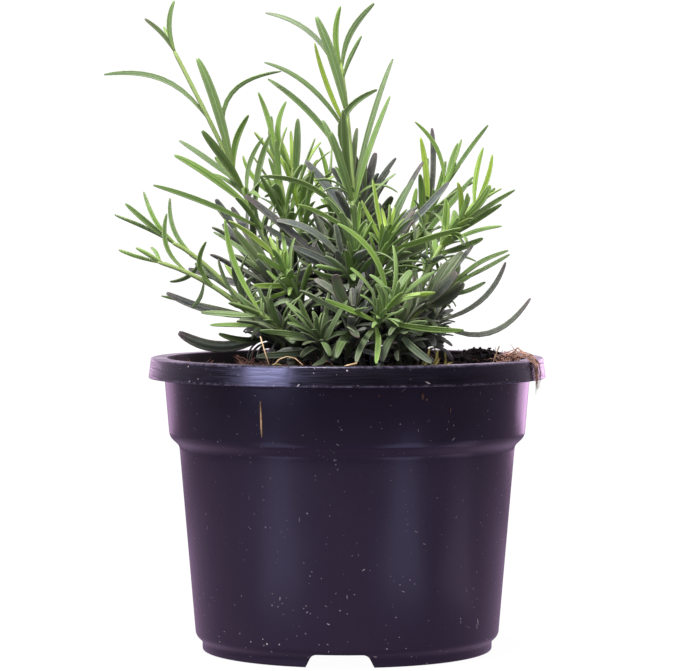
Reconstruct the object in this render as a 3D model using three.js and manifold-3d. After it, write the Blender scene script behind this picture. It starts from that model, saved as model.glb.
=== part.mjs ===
import * as THREE from "three";
import { mergeVertices } from "three/addons/utils/BufferGeometryUtils.js";
import Module from "manifold-3d";

const wasm = await Module();
wasm.setup();

// Pot, in millimetres: a 13 cm nursery pot.
const POT_HEIGHT = 95.8;
const POT_SIDES = 36;
const WALL = 1.2;
const RIM_TOP_RADIUS = 64.2;
const RIM_SKIRT_RADIUS = 65;
const RIM_SKIRT_Z = 89.2;
const BAND_TOP_RADIUS = 59.8;
const BAND_LOW_RADIUS = 58.2;
const BAND_LOW_Z = 70;
const SHOULDER_RADIUS = 55;
const SHOULDER_Z = 67.1;
const INNER_RISE = { band: 0.6, shoulder: 0.4 };
const BASE_RADIUS = 49.7;
const BASE_BEVEL_Z = 4.9;
const FOOT_RADIUS = 47.5;
const FOOT_INNER_RADIUS = 44.6;
const FOOT_Z = 3;
const BASE_UNDERSIDE_Z = 5;
const BASE_TOP_Z = 6.2;
const FOOT_GAP = { count: 3, turn: -2.8, top: 17.5, bottom: 22, height: 4.3, corner: 1.6 };
const DRAIN = { count: 6, radius: 4, circle: 31, sides: 12 };
const CUT_SPARE = 2;

// Soil: its level, the heap at the back right, and the gap left round it.
const GAP = 0.35;
const SOIL_SIDES = 28;
const SOIL_LEVEL = 90.8;
const SOIL_RADIUS = 58.2;
const SOIL_INSET = WALL + GAP + 0.2;
const SOIL_WALL_TOP = { radius: BAND_LOW_RADIUS - SOIL_INSET + 1.1, z: 86 };
const SOIL_TOP_RINGS = [0.985, 0.86, 0.68, 0.45, 0.2];
const SOIL_BASE_INSET = 1;
const SOIL_BAND_RISE = 1.4;
const HEAP = { x: 44, y: 22, height: 6, spread: 15 };
const LUMPS = { height: 0.5, perX: 0.21, perY: 0.17, shift: 1 };
const HOLE = { depth: 8, clearance: 0.45, tall: 30 };

// Stems: an upright root end in its hole, then a curve with a ring at each step.
const STEM_SIDES = 5;
const STEM_ROOT_RADIUS = 1.25;
const STEM_TOP_RADIUS = 0.85;
const STEM_RISE = 1.5;
const STEM_COLLAR = 0.4;
const STEM_TIP = 1;
const STEM_RING_STEP = 18;
const STEM_FEWEST_RINGS = 3;

// Leaves: a flat top, a keel below, and the plant inside a square of this half diagonal.
const REACH = 91.4;
const BLADE_STATIONS = [0, 0.4, 0.84];
const BLADE = { foot: 0.38, widest: 0.7, tipSpan: 0.32, top: 0.15, keel: 0.75, least: 1.6 };
const PAIR_STEP = 8;
const PAIR_FIRST = 0.35;
const PAIR_OPEN = { first: 0.3, step: 0.14, most: 1.05, foot: 0.7, tip: 1.25 };
const PAIR_GROWTH = { first: 0.55, step: 0.17, short: 0.8, spread: 0.35 };
const PAIR_WIDTH = { narrow: 1.8, spread: 0.9, old: 0.5 };
const PAIR_TRIES = { count: 8, swing: 0.3 };
const DRIFT = { turn: 0.8, open: 0.3, roll: 0.9, aimedRoll: 1.3 };
const AIM_SHIFTS = [0, 3, -3, 6, -6, 9, -9, 12, -12];
const AIM_BEND = 0.3;
const SEEDS = { aims: 1, pairs: 5000, shoot: 97, pair: 7 };

// Clearance: every blade and stem is filled with balls that keep the nodes apart.
const SPACE = 0.5;
const OWN_SPACE = 0.1;
const CELL = 5;
const BALL = { step: 1.6, stemStep: 1.5, joined: 7, least: 0.7, wide: 0.9, spot: 0.55 };
const RIM_CLEAR = 1;
const DIAGONAL = 1.42;

// The photo-facing frame is turned by this about the pot's axis.
const TURN = Math.PI / 4;

// Every leafy stem in millimetres, x to the right, y away from the camera, z up.
// root is where it leaves the soil, bend pulls its curve, top is its growing point.
// pairs is how many pairs the rule adds below the top, leaf is their full length.
// aims are the leaves that make the outline, chosen by hand:
// share of the stem, tip x, y, z, how far the middle bows to the left, full width.
const SHOOTS = [
  {
    name: "tall_left", tone: "young", root: [-9, 3], bend: [-28, 0, 141], top: [-56, -3, 195],
    pairs: 0, leaf: 28,
    aims: [
      [1, -56, -6, 212, 2, 1.9], [1, -66, -4, 206, -1, 1.7], [1, -60, 1, 204, 0, 1.3],
      [0.79, -80, -3, 188, -7, 1.9], [0.7, -21, -8, 188, 10, 1.8], [0.65, -48, -12, 193, -1, 3.4],
      [0.64, -32, -8, 175, 2, 2.4], [0.58, -47, -13, 169, -1, 3], [0.6, -55, 3, 167, 0, 2],
      [0.52, -56, -8, 162, -1, 2.7], [0.46, -63, -12, 152, -1, 2],
      [0.55, -28, 2, 168, 2, 1.7], [0.49, -25, 4, 169, 2, 2.3],
    ],
  },
  {
    name: "tall_centre", tone: "young", root: [2, -4], bend: [4, -7, 151], top: [-2, -8, 191],
    pairs: 0, leaf: 30,
    aims: [
      [0.98, -2, -9, 210, 2, 2.2], [0.98, 9, -6, 211, 3, 2.2], [0.94, 5, -12, 200, 1, 1.5],
      [0.8, -10, -14, 206, -1, 3.3], [0.89, -27, -4, 209, -6, 1.8], [0.74, -11, -16, 198, 1, 1.9],
      [0.72, -27, -10, 192, -4, 1.8], [0.6, -26, -7, 187, -3, 2.2], [0.62, 10, -10, 183, 8, 2.4],
      [0.57, 3, -2, 171, 0, 2], [0.56, -8, -12, 173, 0, 2.5], [0.5, -5, -20, 169, 0, 2.8],
      [0.53, -1, -18, 176, 1, 2.6], [0.52, 15, 2, 194, 1, 2], [0.48, 14, -12, 181, 1, 2.1],
    ],
  },
  {
    name: "dark_centre", tone: "old", root: [7, 5], bend: [2, 3, 127], top: [6, 3, 146],
    pairs: 4, leaf: 26,
    aims: [
      [0.93, 2, 0, 162, 0, 3], [0.96, 5, 4, 163, 0, 2.5], [0.93, 9, 3, 163, 0, 2.7],
      [0.82, -5, -2, 158, -1, 2.9], [0.76, -14, 5, 160, -1, 3], [0.9, 16, 8, 161, 1, 1.8],
      [0.85, 14, 10, 157, 1, 1.8],
    ],
  },
  {
    name: "left_upright", tone: "young", root: [-13, 8], bend: [-18, 8, 133], top: [-23, 9, 159],
    pairs: 4, leaf: 26,
    aims: [
      [1, -29, 7, 183, -1, 2.1], [1, -25, 12, 175, 1, 2.2], [0.78, -35, 14, 162, 2, 1.9],
    ],
  },
  {
    name: "left_inner", tone: "young", root: [-6, 11], bend: [-14, 12, 132], top: [-18, 13, 157],
    pairs: 4, leaf: 26,
    aims: [
      [1, -20, 14, 180, 4, 2.1], [0.9, -16, 8, 174, 0, 2.7], [0.85, -9, 18, 167, 1, 1.6],
      [0.92, -22, 18, 168, 0, 1.6],
    ],
  },
  {
    name: "long_left_upper", tone: "young", root: [-16, -4], bend: [-43, -8, 127],
    top: [-56, -9, 133], pairs: 0, leaf: 22,
    aims: [
      [1, -72, -11, 146, 0, 2.1], [1, -76, -7, 142, -1, 1.5], [0.95, -66, -5, 150, 2, 1.8],
      [0.78, -57, -10, 148, 3, 2], [0.72, -58, 0, 121, 2, 1.8], [0.6, -52, 2, 129, -1, 1.7],
    ],
  },
  {
    name: "long_left_lower", tone: "young", root: [-15, -12], bend: [-36, -17, 120],
    top: [-60, -19, 127], pairs: 0, leaf: 22,
    aims: [
      [1, -74, -14, 131, 0, 1.5], [0.95, -68, -19, 132, 0, 1.9], [1, -63, -15, 132, 0, 1.5],
      [0.82, -58, -16, 143, 4, 1.8], [0.63, -45, -24, 134, 4, 1.9],
      [0.7, -50, -12, 112, 1, 1.7],
    ],
  },
  {
    name: "left_front", tone: "young", root: [-13, -17], bend: [-18, -21, 105],
    top: [-28, -25, 111], pairs: 3, leaf: 24,
    aims: [
      [0.98, -40, -22, 141, 2, 2.3], [0.9, -47, -22, 111, 0, 2.1], [0.7, -44, -27, 107, 0, 1.9],
    ],
  },
  {
    name: "left_olive", tone: "old", root: [-13, -1], bend: [-16, -5, 113], top: [-23, -8, 120],
    pairs: 3, leaf: 30,
    aims: [
      [0.9, -37, -14, 138, 0, 3.1], [0.95, -32, -7, 136, 0, 2.6], [0.8, -52, -4, 125, 1, 2.3],
      [1, -38, 2, 145, 0, 2.5], [0.75, -44, -2, 137, -2, 1.8],
    ],
  },
  {
    name: "left_grey", tone: "old", root: [-4, -7], bend: [-1, -12, 111], top: [-1, -14, 127],
    pairs: 3, leaf: 30,
    aims: [
      [1, -23, -17, 141, -3, 2.4], [0.85, -33, -20, 149, 0, 2.6], [0.8, -27, -14, 139, 0, 2.6],
      [0.9, -18, -22, 132, -1, 2.3],
    ],
  },
  {
    name: "low_left", tone: "old", root: [-18, 2], bend: [-21, -2, 102], top: [-28, -2, 109],
    pairs: 2, leaf: 26,
    aims: [
      [1, -59, -6, 117, 2, 2.7], [0.95, -61, 2, 116, 0, 1.6], [0.7, -55, -9, 104, 5, 4],
      [0.6, -42, -14, 104, 2, 2.3],
    ],
  },
  {
    name: "front_left", tone: "young", root: [-9, -21], bend: [-7, -27, 98], top: [-9, -29, 104],
    pairs: 1, leaf: 18,
    aims: [
      [0.95, -28, -32, 106, 0, 2.1], [1, -19, -30, 111, 1, 2.1], [1, -15, -34, 116, 1, 1.9],
      [0.7, -11, -39, 95, 3, 2.2], [0.6, -29, -31, 97, 0, 2.4],
    ],
  },
  {
    name: "lime_left", tone: "young", root: [-10, -10], bend: [-14, -15, 113],
    top: [-21, -18, 127], pairs: 3, leaf: 24,
    aims: [
      [1, -38, -22, 141, -1, 2], [0.9, -29, -26, 130, 0, 2.1], [0.75, -30, -28, 120, 0, 2.1],
      [0.85, -20, -25, 123, -2, 2.6], [0.7, -32, -20, 112, -1, 1.8],
    ],
  },
  {
    name: "front_purple", tone: "old", root: [0, -20], bend: [0, -26, 104], top: [2, -30, 113],
    pairs: 2, leaf: 20,
    aims: [
      [0.95, -4, -36, 124, 1, 3.8], [0.8, -15, -28, 119, 0, 1.9], [0.6, -5, -37, 96, -1, 2.2],
      [0.7, 3, -43, 103, 0, 3],
    ],
  },
  {
    name: "front_centre", tone: "young", root: [1, -12], bend: [1, -17, 117], top: [3, -20, 136],
    pairs: 4, leaf: 24,
    aims: [
      [1, -28, -26, 155, -6, 2.1], [1, -16, -22, 146, -1, 1.8], [0.95, -7, -26, 148, -1, 2.4],
      [0.85, -2, -31, 144, 0, 2.9], [0.7, -11, -28, 125, 2, 1.8], [0.75, 0, -27, 134, 0, 1.9],
      [0.8, 6, -35, 132, 0, 3.6],
    ],
  },
  {
    name: "centre_green", tone: "young", root: [10, -10], bend: [6, -14, 116],
    top: [13, -18, 136], pairs: 3, leaf: 24,
    aims: [
      [0.9, 4, -22, 147, 0, 2.1], [0.9, 8, -12, 154, 0, 1.9], [0.85, 37, -22, 139, 0, 2.5],
      [1, 15, -14, 145, 0, 1.8], [1, 11, -10, 144, 0, 1.8],
    ],
  },
  {
    name: "front_right", tone: "young", root: [9, -22], bend: [5, -28, 109], top: [18, -36, 117],
    pairs: 2, leaf: 18,
    aims: [
      [0.6, 37, -36, 106, -1, 2.4], [0.55, -7, -38, 116, 0, 2.1], [1, 28, -38, 118, 0, 2],
      [0.5, 3, -44, 96, -1, 2.4], [0.5, 9, -48, 96, 1, 2.2], [0.75, -3, -40, 140, -5, 2.2],
    ],
  },
  {
    name: "right_front", tone: "old", root: [17, -20], bend: [15, -24, 102], top: [17, -28, 108],
    pairs: 1, leaf: 20,
    aims: [
      [0.8, 11, -39, 96, -1, 2.7], [0.8, 27, -38, 96, -1, 2.7], [0.9, 26, -33, 108, 0, 2],
      [1, 14, -32, 119, 0, 1.9],
    ],
  },
  {
    name: "right_bright", tone: "young", root: [17, -7], bend: [21, -10, 126],
    top: [41, -15, 145], pairs: 3, leaf: 22,
    aims: [
      [0.9, 46, -19, 152, -1, 2.9], [0.88, 35, -20, 153, -1, 2.1], [1, 44, -8, 164, 1, 1.9],
      [1, 47, -13, 162, -1, 1.8], [0.8, 54, -15, 151, 0, 1.9], [0.75, 50, -11, 146, 0, 2.1],
      [0.7, 50, -18, 139, 1, 1.5], [0.65, 44, -10, 135, -1, 2.3], [0.6, 25, -20, 128, 0, 1.6],
    ],
  },
  {
    name: "right_grey", tone: "old", root: [10, -3], bend: [8, -6, 117], top: [12, -8, 133],
    pairs: 3, leaf: 30,
    aims: [
      [1, 33, -11, 153, -1, 2.4], [0.85, 21, -15, 154, 1, 2.7], [0.9, 25, -2, 160, 1, 1.8],
      [0.8, 35, 4, 138, -1, 3.2],
    ],
  },
  {
    name: "right_light", tone: "young", root: [16, 3], bend: [16, 3, 126], top: [32, 2, 152],
    pairs: 3, leaf: 24,
    aims: [
      [0.8, 24, -3, 168, -1, 2.4], [1, 22, 0, 173, -3, 1.6], [0.82, 28, 5, 171, -1, 1.9],
      [1, 36, 2, 166, 0, 1.6], [0.95, 38, 7, 167, 0, 1.5], [1, 46, 0, 172, 0, 1.6],
      [0.63, 41, -5, 155, 0, 2.1], [0.8, 27, 9, 161, 1, 1.8],
    ],
  },
  {
    name: "right_brown", tone: "old", root: [20, -12], bend: [18, -19, 107], top: [24, -22, 113],
    pairs: 2, leaf: 24,
    aims: [
      [0.95, 35, -28, 124, 0, 4.4], [1, 37, -24, 121, -2, 4], [0.9, 37, -19, 131, 0, 3.2],
      [0.9, 32, -25, 128, 0, 2.3], [0.85, 41, -13, 133, 0, 1.9],
    ],
  },
  {
    name: "right_low", tone: "young", root: [24, 3], bend: [21, 5, 105], top: [35, 8, 120],
    pairs: 3, leaf: 20,
    aims: [
      [1, 53, 5, 131, 1, 1.7], [0.95, 54, 11, 129, 0, 1.6], [1, 45, 13, 127, 0, 1.6],
      [0.9, 45, 3, 125, 0, 1.7], [0.85, 46, 9, 120, -1, 1.7],
    ],
  },
  {
    name: "right_dark", tone: "old", root: [25, -7], bend: [23, -10, 101], top: [27, -11, 108],
    pairs: 2, leaf: 22,
    aims: [[1, 59, -14, 116, -9, 2.1], [0.95, 52, -8, 127, -5, 1.9]],
  },
  // These stand behind, where the photo doesn't show them.
  {
    name: "back_left", tone: "old", root: [-19, 13], bend: [-24, 18, 118], top: [-38, 22, 138],
    pairs: 5, leaf: 27, aims: [],
  },
  {
    name: "back_low_left", tone: "young", root: [-14, 19], bend: [-20, 28, 106],
    top: [-36, 38, 118], pairs: 4, leaf: 24, aims: [],
  },
  {
    name: "back_centre", tone: "young", root: [-3, 19], bend: [-4, 24, 126], top: [-6, 29, 152],
    pairs: 5, leaf: 26, aims: [],
  },
  {
    name: "back_low", tone: "old", root: [-5, 26], bend: [-7, 36, 104], top: [-9, 45, 116],
    pairs: 3, leaf: 26, aims: [],
  },
  {
    name: "back_upright", tone: "old", root: [3, 12], bend: [7, 16, 124], top: [9, 18, 144],
    pairs: 4, leaf: 28, aims: [],
  },
  {
    name: "back_right", tone: "young", root: [8, 20], bend: [14, 27, 118], top: [21, 34, 139],
    pairs: 5, leaf: 26, aims: [],
  },
  {
    name: "back_low_right", tone: "old", root: [16, 15], bend: [22, 22, 106],
    top: [34, 28, 117], pairs: 3, leaf: 26, aims: [],
  },
  {
    name: "back_inner", tone: "old", root: [-1, 4], bend: [-4, 5, 116], top: [-6, 4, 134],
    pairs: 2, leaf: 26, aims: [],
  },
];

const FINISHES = {
  pot: { color: 0x17131b, roughness: 0.45 },
  soil: { color: 0x2a201b, roughness: 0.95 },
  young: { color: 0x9bae5c, roughness: 0.8 },
  old: { color: 0x6f7468, roughness: 0.8 },
};

const add = (a, b, k = 1) => a.map((v, i) => v + k * b[i]);
const scaled = (a, k) => a.map((v) => v * k);
const dot = (a, b) => a[0] * b[0] + a[1] * b[1] + a[2] * b[2];
const unit = (a) => scaled(a, 1 / Math.hypot(...a));
const cross = (a, b) => [
  a[1] * b[2] - a[2] * b[1],
  a[2] * b[0] - a[0] * b[2],
  a[0] * b[1] - a[1] * b[0],
];

// The quadratic curve through three control points, and its direction.
function curveAt([a, b, c], u) {
  const v = 1 - u;
  return a.map((_, i) => v * v * a[i] + 2 * u * v * b[i] + u * u * c[i]);
}

function directionAt([a, b, c], u) {
  return unit(a.map((_, i) => (1 - u) * (b[i] - a[i]) + u * (c[i] - b[i])));
}

function curveLength(curve) {
  const chords = 12;
  let length = 0;
  for (let i = 0; i < chords; i++) {
    length += Math.hypot(...add(curveAt(curve, (i + 1) / chords), curveAt(curve, i / chords), -1));
  }
  return length;
}

// Seeded random numbers in 0 to 1.
function randomFrom(seed) {
  let state = (seed * 2654435761) >>> 0;
  return () => {
    state = (Math.imul(state, 1664525) + 1013904223) >>> 0;
    return state / 4294967296;
  };
}

function soilHeight(x, y) {
  const away = ((x - HEAP.x) ** 2 + (y - HEAP.y) ** 2) / HEAP.spread ** 2;
  const lumps = LUMPS.height * Math.sin(x * LUMPS.perX + LUMPS.shift) * Math.cos(y * LUMPS.perY);
  return SOIL_LEVEL + lumps + HEAP.height * Math.exp(-away);
}

// A closed geometry as a solid for joins and cuts: its shared points are merged
// and the slivers that a pole leaves are dropped.
function solidOf(geometry) {
  geometry.deleteAttribute("normal");
  geometry.deleteAttribute("uv");
  const merged = mergeVertices(geometry);
  const corners = merged.index.array;
  const faces = [];
  for (let i = 0; i < corners.length; i += 3) {
    const [a, b, c] = corners.subarray(i, i + 3);
    if (a !== b && b !== c && c !== a) {
      faces.push(a, b, c);
    }
  }
  return new wasm.Manifold(
    new wasm.Mesh({
      numProp: 3,
      vertProperties: merged.attributes.position.array,
      triVerts: new Uint32Array(faces),
    }),
  );
}

// A solid as a named mesh with its own finish.
function mesh(name, body, finish) {
  const { numProp, vertProperties, triVerts } = body.getMesh();
  const positions = new Float32Array((vertProperties.length / numProp) * 3);
  for (let i = 0; i < positions.length / 3; i++) {
    positions.set(vertProperties.subarray(i * numProp, i * numProp + 3), i * 3);
  }
  const geometry = new THREE.BufferGeometry();
  geometry.setAttribute("position", new THREE.BufferAttribute(positions, 3));
  geometry.setIndex(new THREE.BufferAttribute(new Uint32Array(triVerts), 1));
  geometry.computeVertexNormals();
  const made = new THREE.Mesh(geometry, new THREE.MeshStandardMaterial({ ...finish, metalness: 0 }));
  made.name = name;
  return made;
}

// A profile of [radius, height] points that starts and ends on the axis, turned about Z.
function turned(profile, sides) {
  const points = profile.map(([radius, height]) => new THREE.Vector2(radius, height));
  return new THREE.LatheGeometry(points, sides).rotateX(Math.PI / 2);
}

function uprightCylinder(radius, height, sides) {
  return new THREE.CylinderGeometry(radius, radius, height, sides).rotateX(Math.PI / 2);
}

// A closed skin over rings of equal count, from the point first to the point last.
function loft(first, rings, last) {
  const sides = rings[0].length;
  const at = (ring, side) => 1 + ring * sides + (side % sides);
  const end = 1 + rings.length * sides;
  const faces = [];
  for (let side = 0; side < sides; side++) {
    faces.push(0, at(0, side + 1), at(0, side));
    for (let ring = 0; ring + 1 < rings.length; ring++) {
      faces.push(at(ring, side), at(ring, side + 1), at(ring + 1, side));
      faces.push(at(ring, side + 1), at(ring + 1, side + 1), at(ring + 1, side));
    }
    faces.push(end, at(rings.length - 1, side), at(rings.length - 1, side + 1));
  }
  const geometry = new THREE.BufferGeometry();
  const points = [first, ...rings.flat(), last].flat();
  geometry.setAttribute("position", new THREE.Float32BufferAttribute(points, 3));
  geometry.setIndex(faces);
  return solidOf(geometry);
}

function potWall() {
  const inner = (radius) => radius - WALL;
  const profile = [
    [0, BASE_UNDERSIDE_Z],
    [FOOT_INNER_RADIUS, BASE_UNDERSIDE_Z],
    [FOOT_INNER_RADIUS, 0],
    [FOOT_RADIUS, 0],
    [FOOT_RADIUS, FOOT_Z],
    [BASE_RADIUS, BASE_BEVEL_Z],
    [SHOULDER_RADIUS, SHOULDER_Z],
    [BAND_LOW_RADIUS, BAND_LOW_Z],
    [BAND_TOP_RADIUS, RIM_SKIRT_Z],
    [BAND_TOP_RADIUS, POT_HEIGHT - WALL],
    [inner(RIM_TOP_RADIUS), POT_HEIGHT - WALL],
    [inner(RIM_SKIRT_RADIUS), RIM_SKIRT_Z],
    [RIM_SKIRT_RADIUS, RIM_SKIRT_Z],
    [RIM_TOP_RADIUS, POT_HEIGHT],
    [inner(BAND_TOP_RADIUS), POT_HEIGHT],
    [inner(BAND_LOW_RADIUS), BAND_LOW_Z + INNER_RISE.band],
    [inner(SHOULDER_RADIUS), SHOULDER_Z + INNER_RISE.shoulder],
    [inner(BASE_RADIUS), BASE_TOP_Z],
    [0, BASE_TOP_Z],
  ];
  return solidOf(turned(profile, POT_SIDES));
}

// A gap in the foot ring with rounded upper corners, cut from inside it outwards along -Y.
function footGap() {
  const { top, bottom, height, corner } = FOOT_GAP;
  const outline = new THREE.Shape();
  outline.moveTo(-bottom / 2, -CUT_SPARE / 2);
  outline.lineTo(bottom / 2, -CUT_SPARE / 2);
  outline.lineTo(top / 2, height - corner);
  outline.quadraticCurveTo(top / 2, height, top / 2 - corner, height);
  outline.lineTo(-top / 2 + corner, height);
  outline.quadraticCurveTo(-top / 2, height, -top / 2, height - corner);
  outline.closePath();
  const depth = RIM_SKIRT_RADIUS - FOOT_INNER_RADIUS + 2 * CUT_SPARE;
  return new THREE.ExtrudeGeometry(outline, { depth, bevelEnabled: false, curveSegments: 2 })
    .rotateX(Math.PI / 2)
    .translate(0, CUT_SPARE - FOOT_INNER_RADIUS, 0);
}

function pot() {
  let body = potWall();
  for (let i = 0; i < FOOT_GAP.count; i++) {
    const turn = THREE.MathUtils.degToRad(FOOT_GAP.turn + (i * 360) / FOOT_GAP.count);
    body = body.subtract(solidOf(footGap().rotateZ(turn)));
  }
  for (let i = 0; i < DRAIN.count; i++) {
    const hole = uprightCylinder(DRAIN.radius, 2 * CUT_SPARE, DRAIN.sides)
      .translate(0, DRAIN.circle, (BASE_UNDERSIDE_Z + BASE_TOP_Z) / 2)
      .rotateZ((i * 2 * Math.PI) / DRAIN.count);
    body = body.subtract(solidOf(hole));
  }
  return body;
}

// The soil is turned flat, its top is then lifted point by point, and holes take the stems.
function soil() {
  const profile = [
    [0, BASE_TOP_Z + GAP],
    [BASE_RADIUS - SOIL_INSET - SOIL_BASE_INSET, BASE_TOP_Z + GAP],
    [SHOULDER_RADIUS - SOIL_INSET, SHOULDER_Z],
    [BAND_LOW_RADIUS - SOIL_INSET, BAND_LOW_Z + SOIL_BAND_RISE],
    [SOIL_WALL_TOP.radius, SOIL_WALL_TOP.z],
    ...SOIL_TOP_RINGS.map((share) => [SOIL_RADIUS * share, SOIL_LEVEL]),
    [0, SOIL_LEVEL],
  ];
  const geometry = turned(profile, SOIL_SIDES);
  const point = geometry.attributes.position;
  for (let i = 0; i < point.count; i++) {
    if (point.getZ(i) > SOIL_WALL_TOP.z + CUT_SPARE) {
      point.setZ(i, soilHeight(point.getX(i), point.getY(i)));
    }
  }
  let body = solidOf(geometry);
  for (const { root } of SHOOTS) {
    const floor = soilHeight(...root) - HOLE.depth - GAP;
    const hole = uprightCylinder(STEM_ROOT_RADIUS + HOLE.clearance, HOLE.tall, STEM_SIDES)
      .rotateZ(Math.PI / 2)
      .translate(...root, floor + HOLE.tall / 2);
    body = body.subtract(solidOf(hole));
  }
  return body;
}

// The stem's curve starts a little above the soil, over an upright root end.
function stemCurve({ root, bend, top }) {
  return [[...root, soilHeight(...root) + STEM_RISE], bend, top];
}

function stemRadius(u) {
  return STEM_ROOT_RADIUS + (STEM_TOP_RADIUS - STEM_ROOT_RADIUS) * u;
}

function stemRing(centre, direction, radius) {
  const a = unit(cross([0, 1, 0], direction));
  const b = cross(direction, a);
  return Array.from({ length: STEM_SIDES }, (_, i) => {
    const angle = (2 * Math.PI * i) / STEM_SIDES;
    const outwards = add(scaled(a, Math.cos(angle)), b, Math.sin(angle));
    return add(centre, outwards, radius);
  });
}

function stem(shoot) {
  const curve = stemCurve(shoot);
  const steps = Math.max(STEM_FEWEST_RINGS, Math.round(curveLength(curve) / STEM_RING_STEP));
  const foot = [...shoot.root, curve[0][2] - STEM_RISE - HOLE.depth];
  const collar = add(curve[0], [0, 0, -STEM_COLLAR]);
  const rings = [
    stemRing(foot, [0, 0, 1], STEM_ROOT_RADIUS),
    stemRing(collar, [0, 0, 1], STEM_ROOT_RADIUS),
  ];
  for (let i = 1; i <= steps; i++) {
    const u = i / steps;
    rings.push(stemRing(curveAt(curve, u), directionAt(curve, u), stemRadius(u)));
  }
  return loft(foot, rings, add(curve[2], directionAt(curve, 1), STEM_TIP));
}

// Half the blade's width along its length, as a share of the full half width.
function bladeShare(s) {
  if (s > BLADE.widest) {
    return Math.sqrt(Math.max(0, 1 - ((s - BLADE.widest) / BLADE.tipSpan) ** 2));
  }
  return BLADE.foot + (1 - BLADE.foot) * Math.sin((Math.PI / 2) * (s / BLADE.widest));
}

// The blade's centre, its side and its upper direction at a share s of its length.
function bladeFrame(leaf, s) {
  const along = directionAt(leaf.curve, s);
  const flat = unit(add(leaf.across, along, -dot(leaf.across, along)));
  const over = cross(flat, along);
  const side = add(scaled(flat, Math.cos(leaf.roll)), over, Math.sin(leaf.roll));
  return { centre: curveAt(leaf.curve, s), side, up: cross(side, along) };
}

function blade(leaf) {
  const section = (s) => {
    const { centre, side, up } = bladeFrame(leaf, s);
    const half = (leaf.width / 2) * bladeShare(s);
    const raised = add(centre, up, BLADE.top);
    return [add(raised, side, half), add(centre, up, -BLADE.keel), add(raised, side, -half)];
  };
  return loft(leaf.curve[0], BLADE_STATIONS.map(section), leaf.curve[2]);
}

function bladeBalls(leaf, owner) {
  const length = curveLength(leaf.curve);
  const count = Math.ceil(length / BALL.step);
  const balls = [];
  for (let i = 0; i <= count; i++) {
    const s = i / count;
    const { centre, side } = bladeFrame(leaf, s);
    const half = (leaf.width / 2) * bladeShare(s);
    const spots = half > BALL.wide ? [-BALL.spot, 0, BALL.spot] : [0];
    for (const spot of spots) {
      const radius = Math.max(BALL.least, half > BALL.wide ? half / 2 : half);
      const free = s * length > BALL.joined;
      balls.push({ at: add(centre, side, spot * half), radius, owner, free });
    }
  }
  return balls;
}

function stemBalls(shoot, owner) {
  const curve = stemCurve(shoot);
  const count = Math.ceil(curveLength(curve) / BALL.stemStep);
  return Array.from({ length: count + 1 }, (_, i) => ({
    at: curveAt(curve, i / count),
    radius: stemRadius(i / count) + OWN_SPACE,
    owner,
    free: true,
  }));
}

const filled = new Map();

function cellOf(at) {
  return at.map((v) => Math.floor(v / CELL));
}

function keep(balls) {
  for (const ball of balls) {
    const key = cellOf(ball.at).join();
    filled.set(key, [...(filled.get(key) ?? []), ball]);
  }
}

// The cell that a ball lies in and the 26 round it.
function cellsRound(at) {
  const [i, j, k] = cellOf(at);
  return Array.from({ length: 27 }, (_, cell) =>
    [i + (cell % 3) - 1, j + (Math.floor(cell / 3) % 3) - 1, k + Math.floor(cell / 9) - 1].join(),
  );
}

// A leaf may start inside its own stem, so only free balls of one owner are compared.
function meets(ball) {
  return cellsRound(ball.at).some((key) =>
    (filled.get(key) ?? []).some((other) => {
      const same = other.owner === ball.owner;
      if (same && !(ball.free && other.free)) {
        return false;
      }
      const apart = Math.hypot(...add(ball.at, other.at, -1));
      return apart < ball.radius + other.radius + (same ? OWN_SPACE : SPACE);
    }),
  );
}

// Inside the square, above the soil and away from the rim.
function inBounds({ at: [x, y, z], radius }) {
  if (Math.abs(x) + Math.abs(y) + DIAGONAL * radius > REACH) {
    return false;
  }
  const overRim = Math.hypot(x, y) + radius > BAND_TOP_RADIUS - WALL - RIM_CLEAR;
  if (overRim && z - radius < POT_HEIGHT + RIM_CLEAR) {
    return false;
  }
  return z - radius > soilHeight(x, y) + SPACE;
}

function tryLeaf(leaf, owner, grown) {
  const balls = bladeBalls(leaf, owner);
  const clear = balls.every((ball) => (!ball.free || inBounds(ball)) && !meets(ball));
  if (clear) {
    keep(balls);
    grown[owner].push(leaf);
  }
  return clear;
}

// A leaf with its tip at a given place, shifted in depth where it would meet another.
function aimedLeaf(curve, [share, x, y, z, bow, width], shift, random) {
  const start = curveAt(curve, share);
  const tip = [x, y + shift, z];
  const chord = add(tip, start, -1);
  const left = unit([-chord[2], 0, chord[0]]);
  const middle = add(add(start, scaled(chord, 0.5)), left, 2 * bow);
  middle[1] += shift * AIM_BEND;
  return {
    curve: [start, middle, tip],
    across: left,
    roll: (random() - 0.5) * DRIFT.aimedRoll,
    width: Math.max(width, BLADE.least),
  };
}

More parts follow.
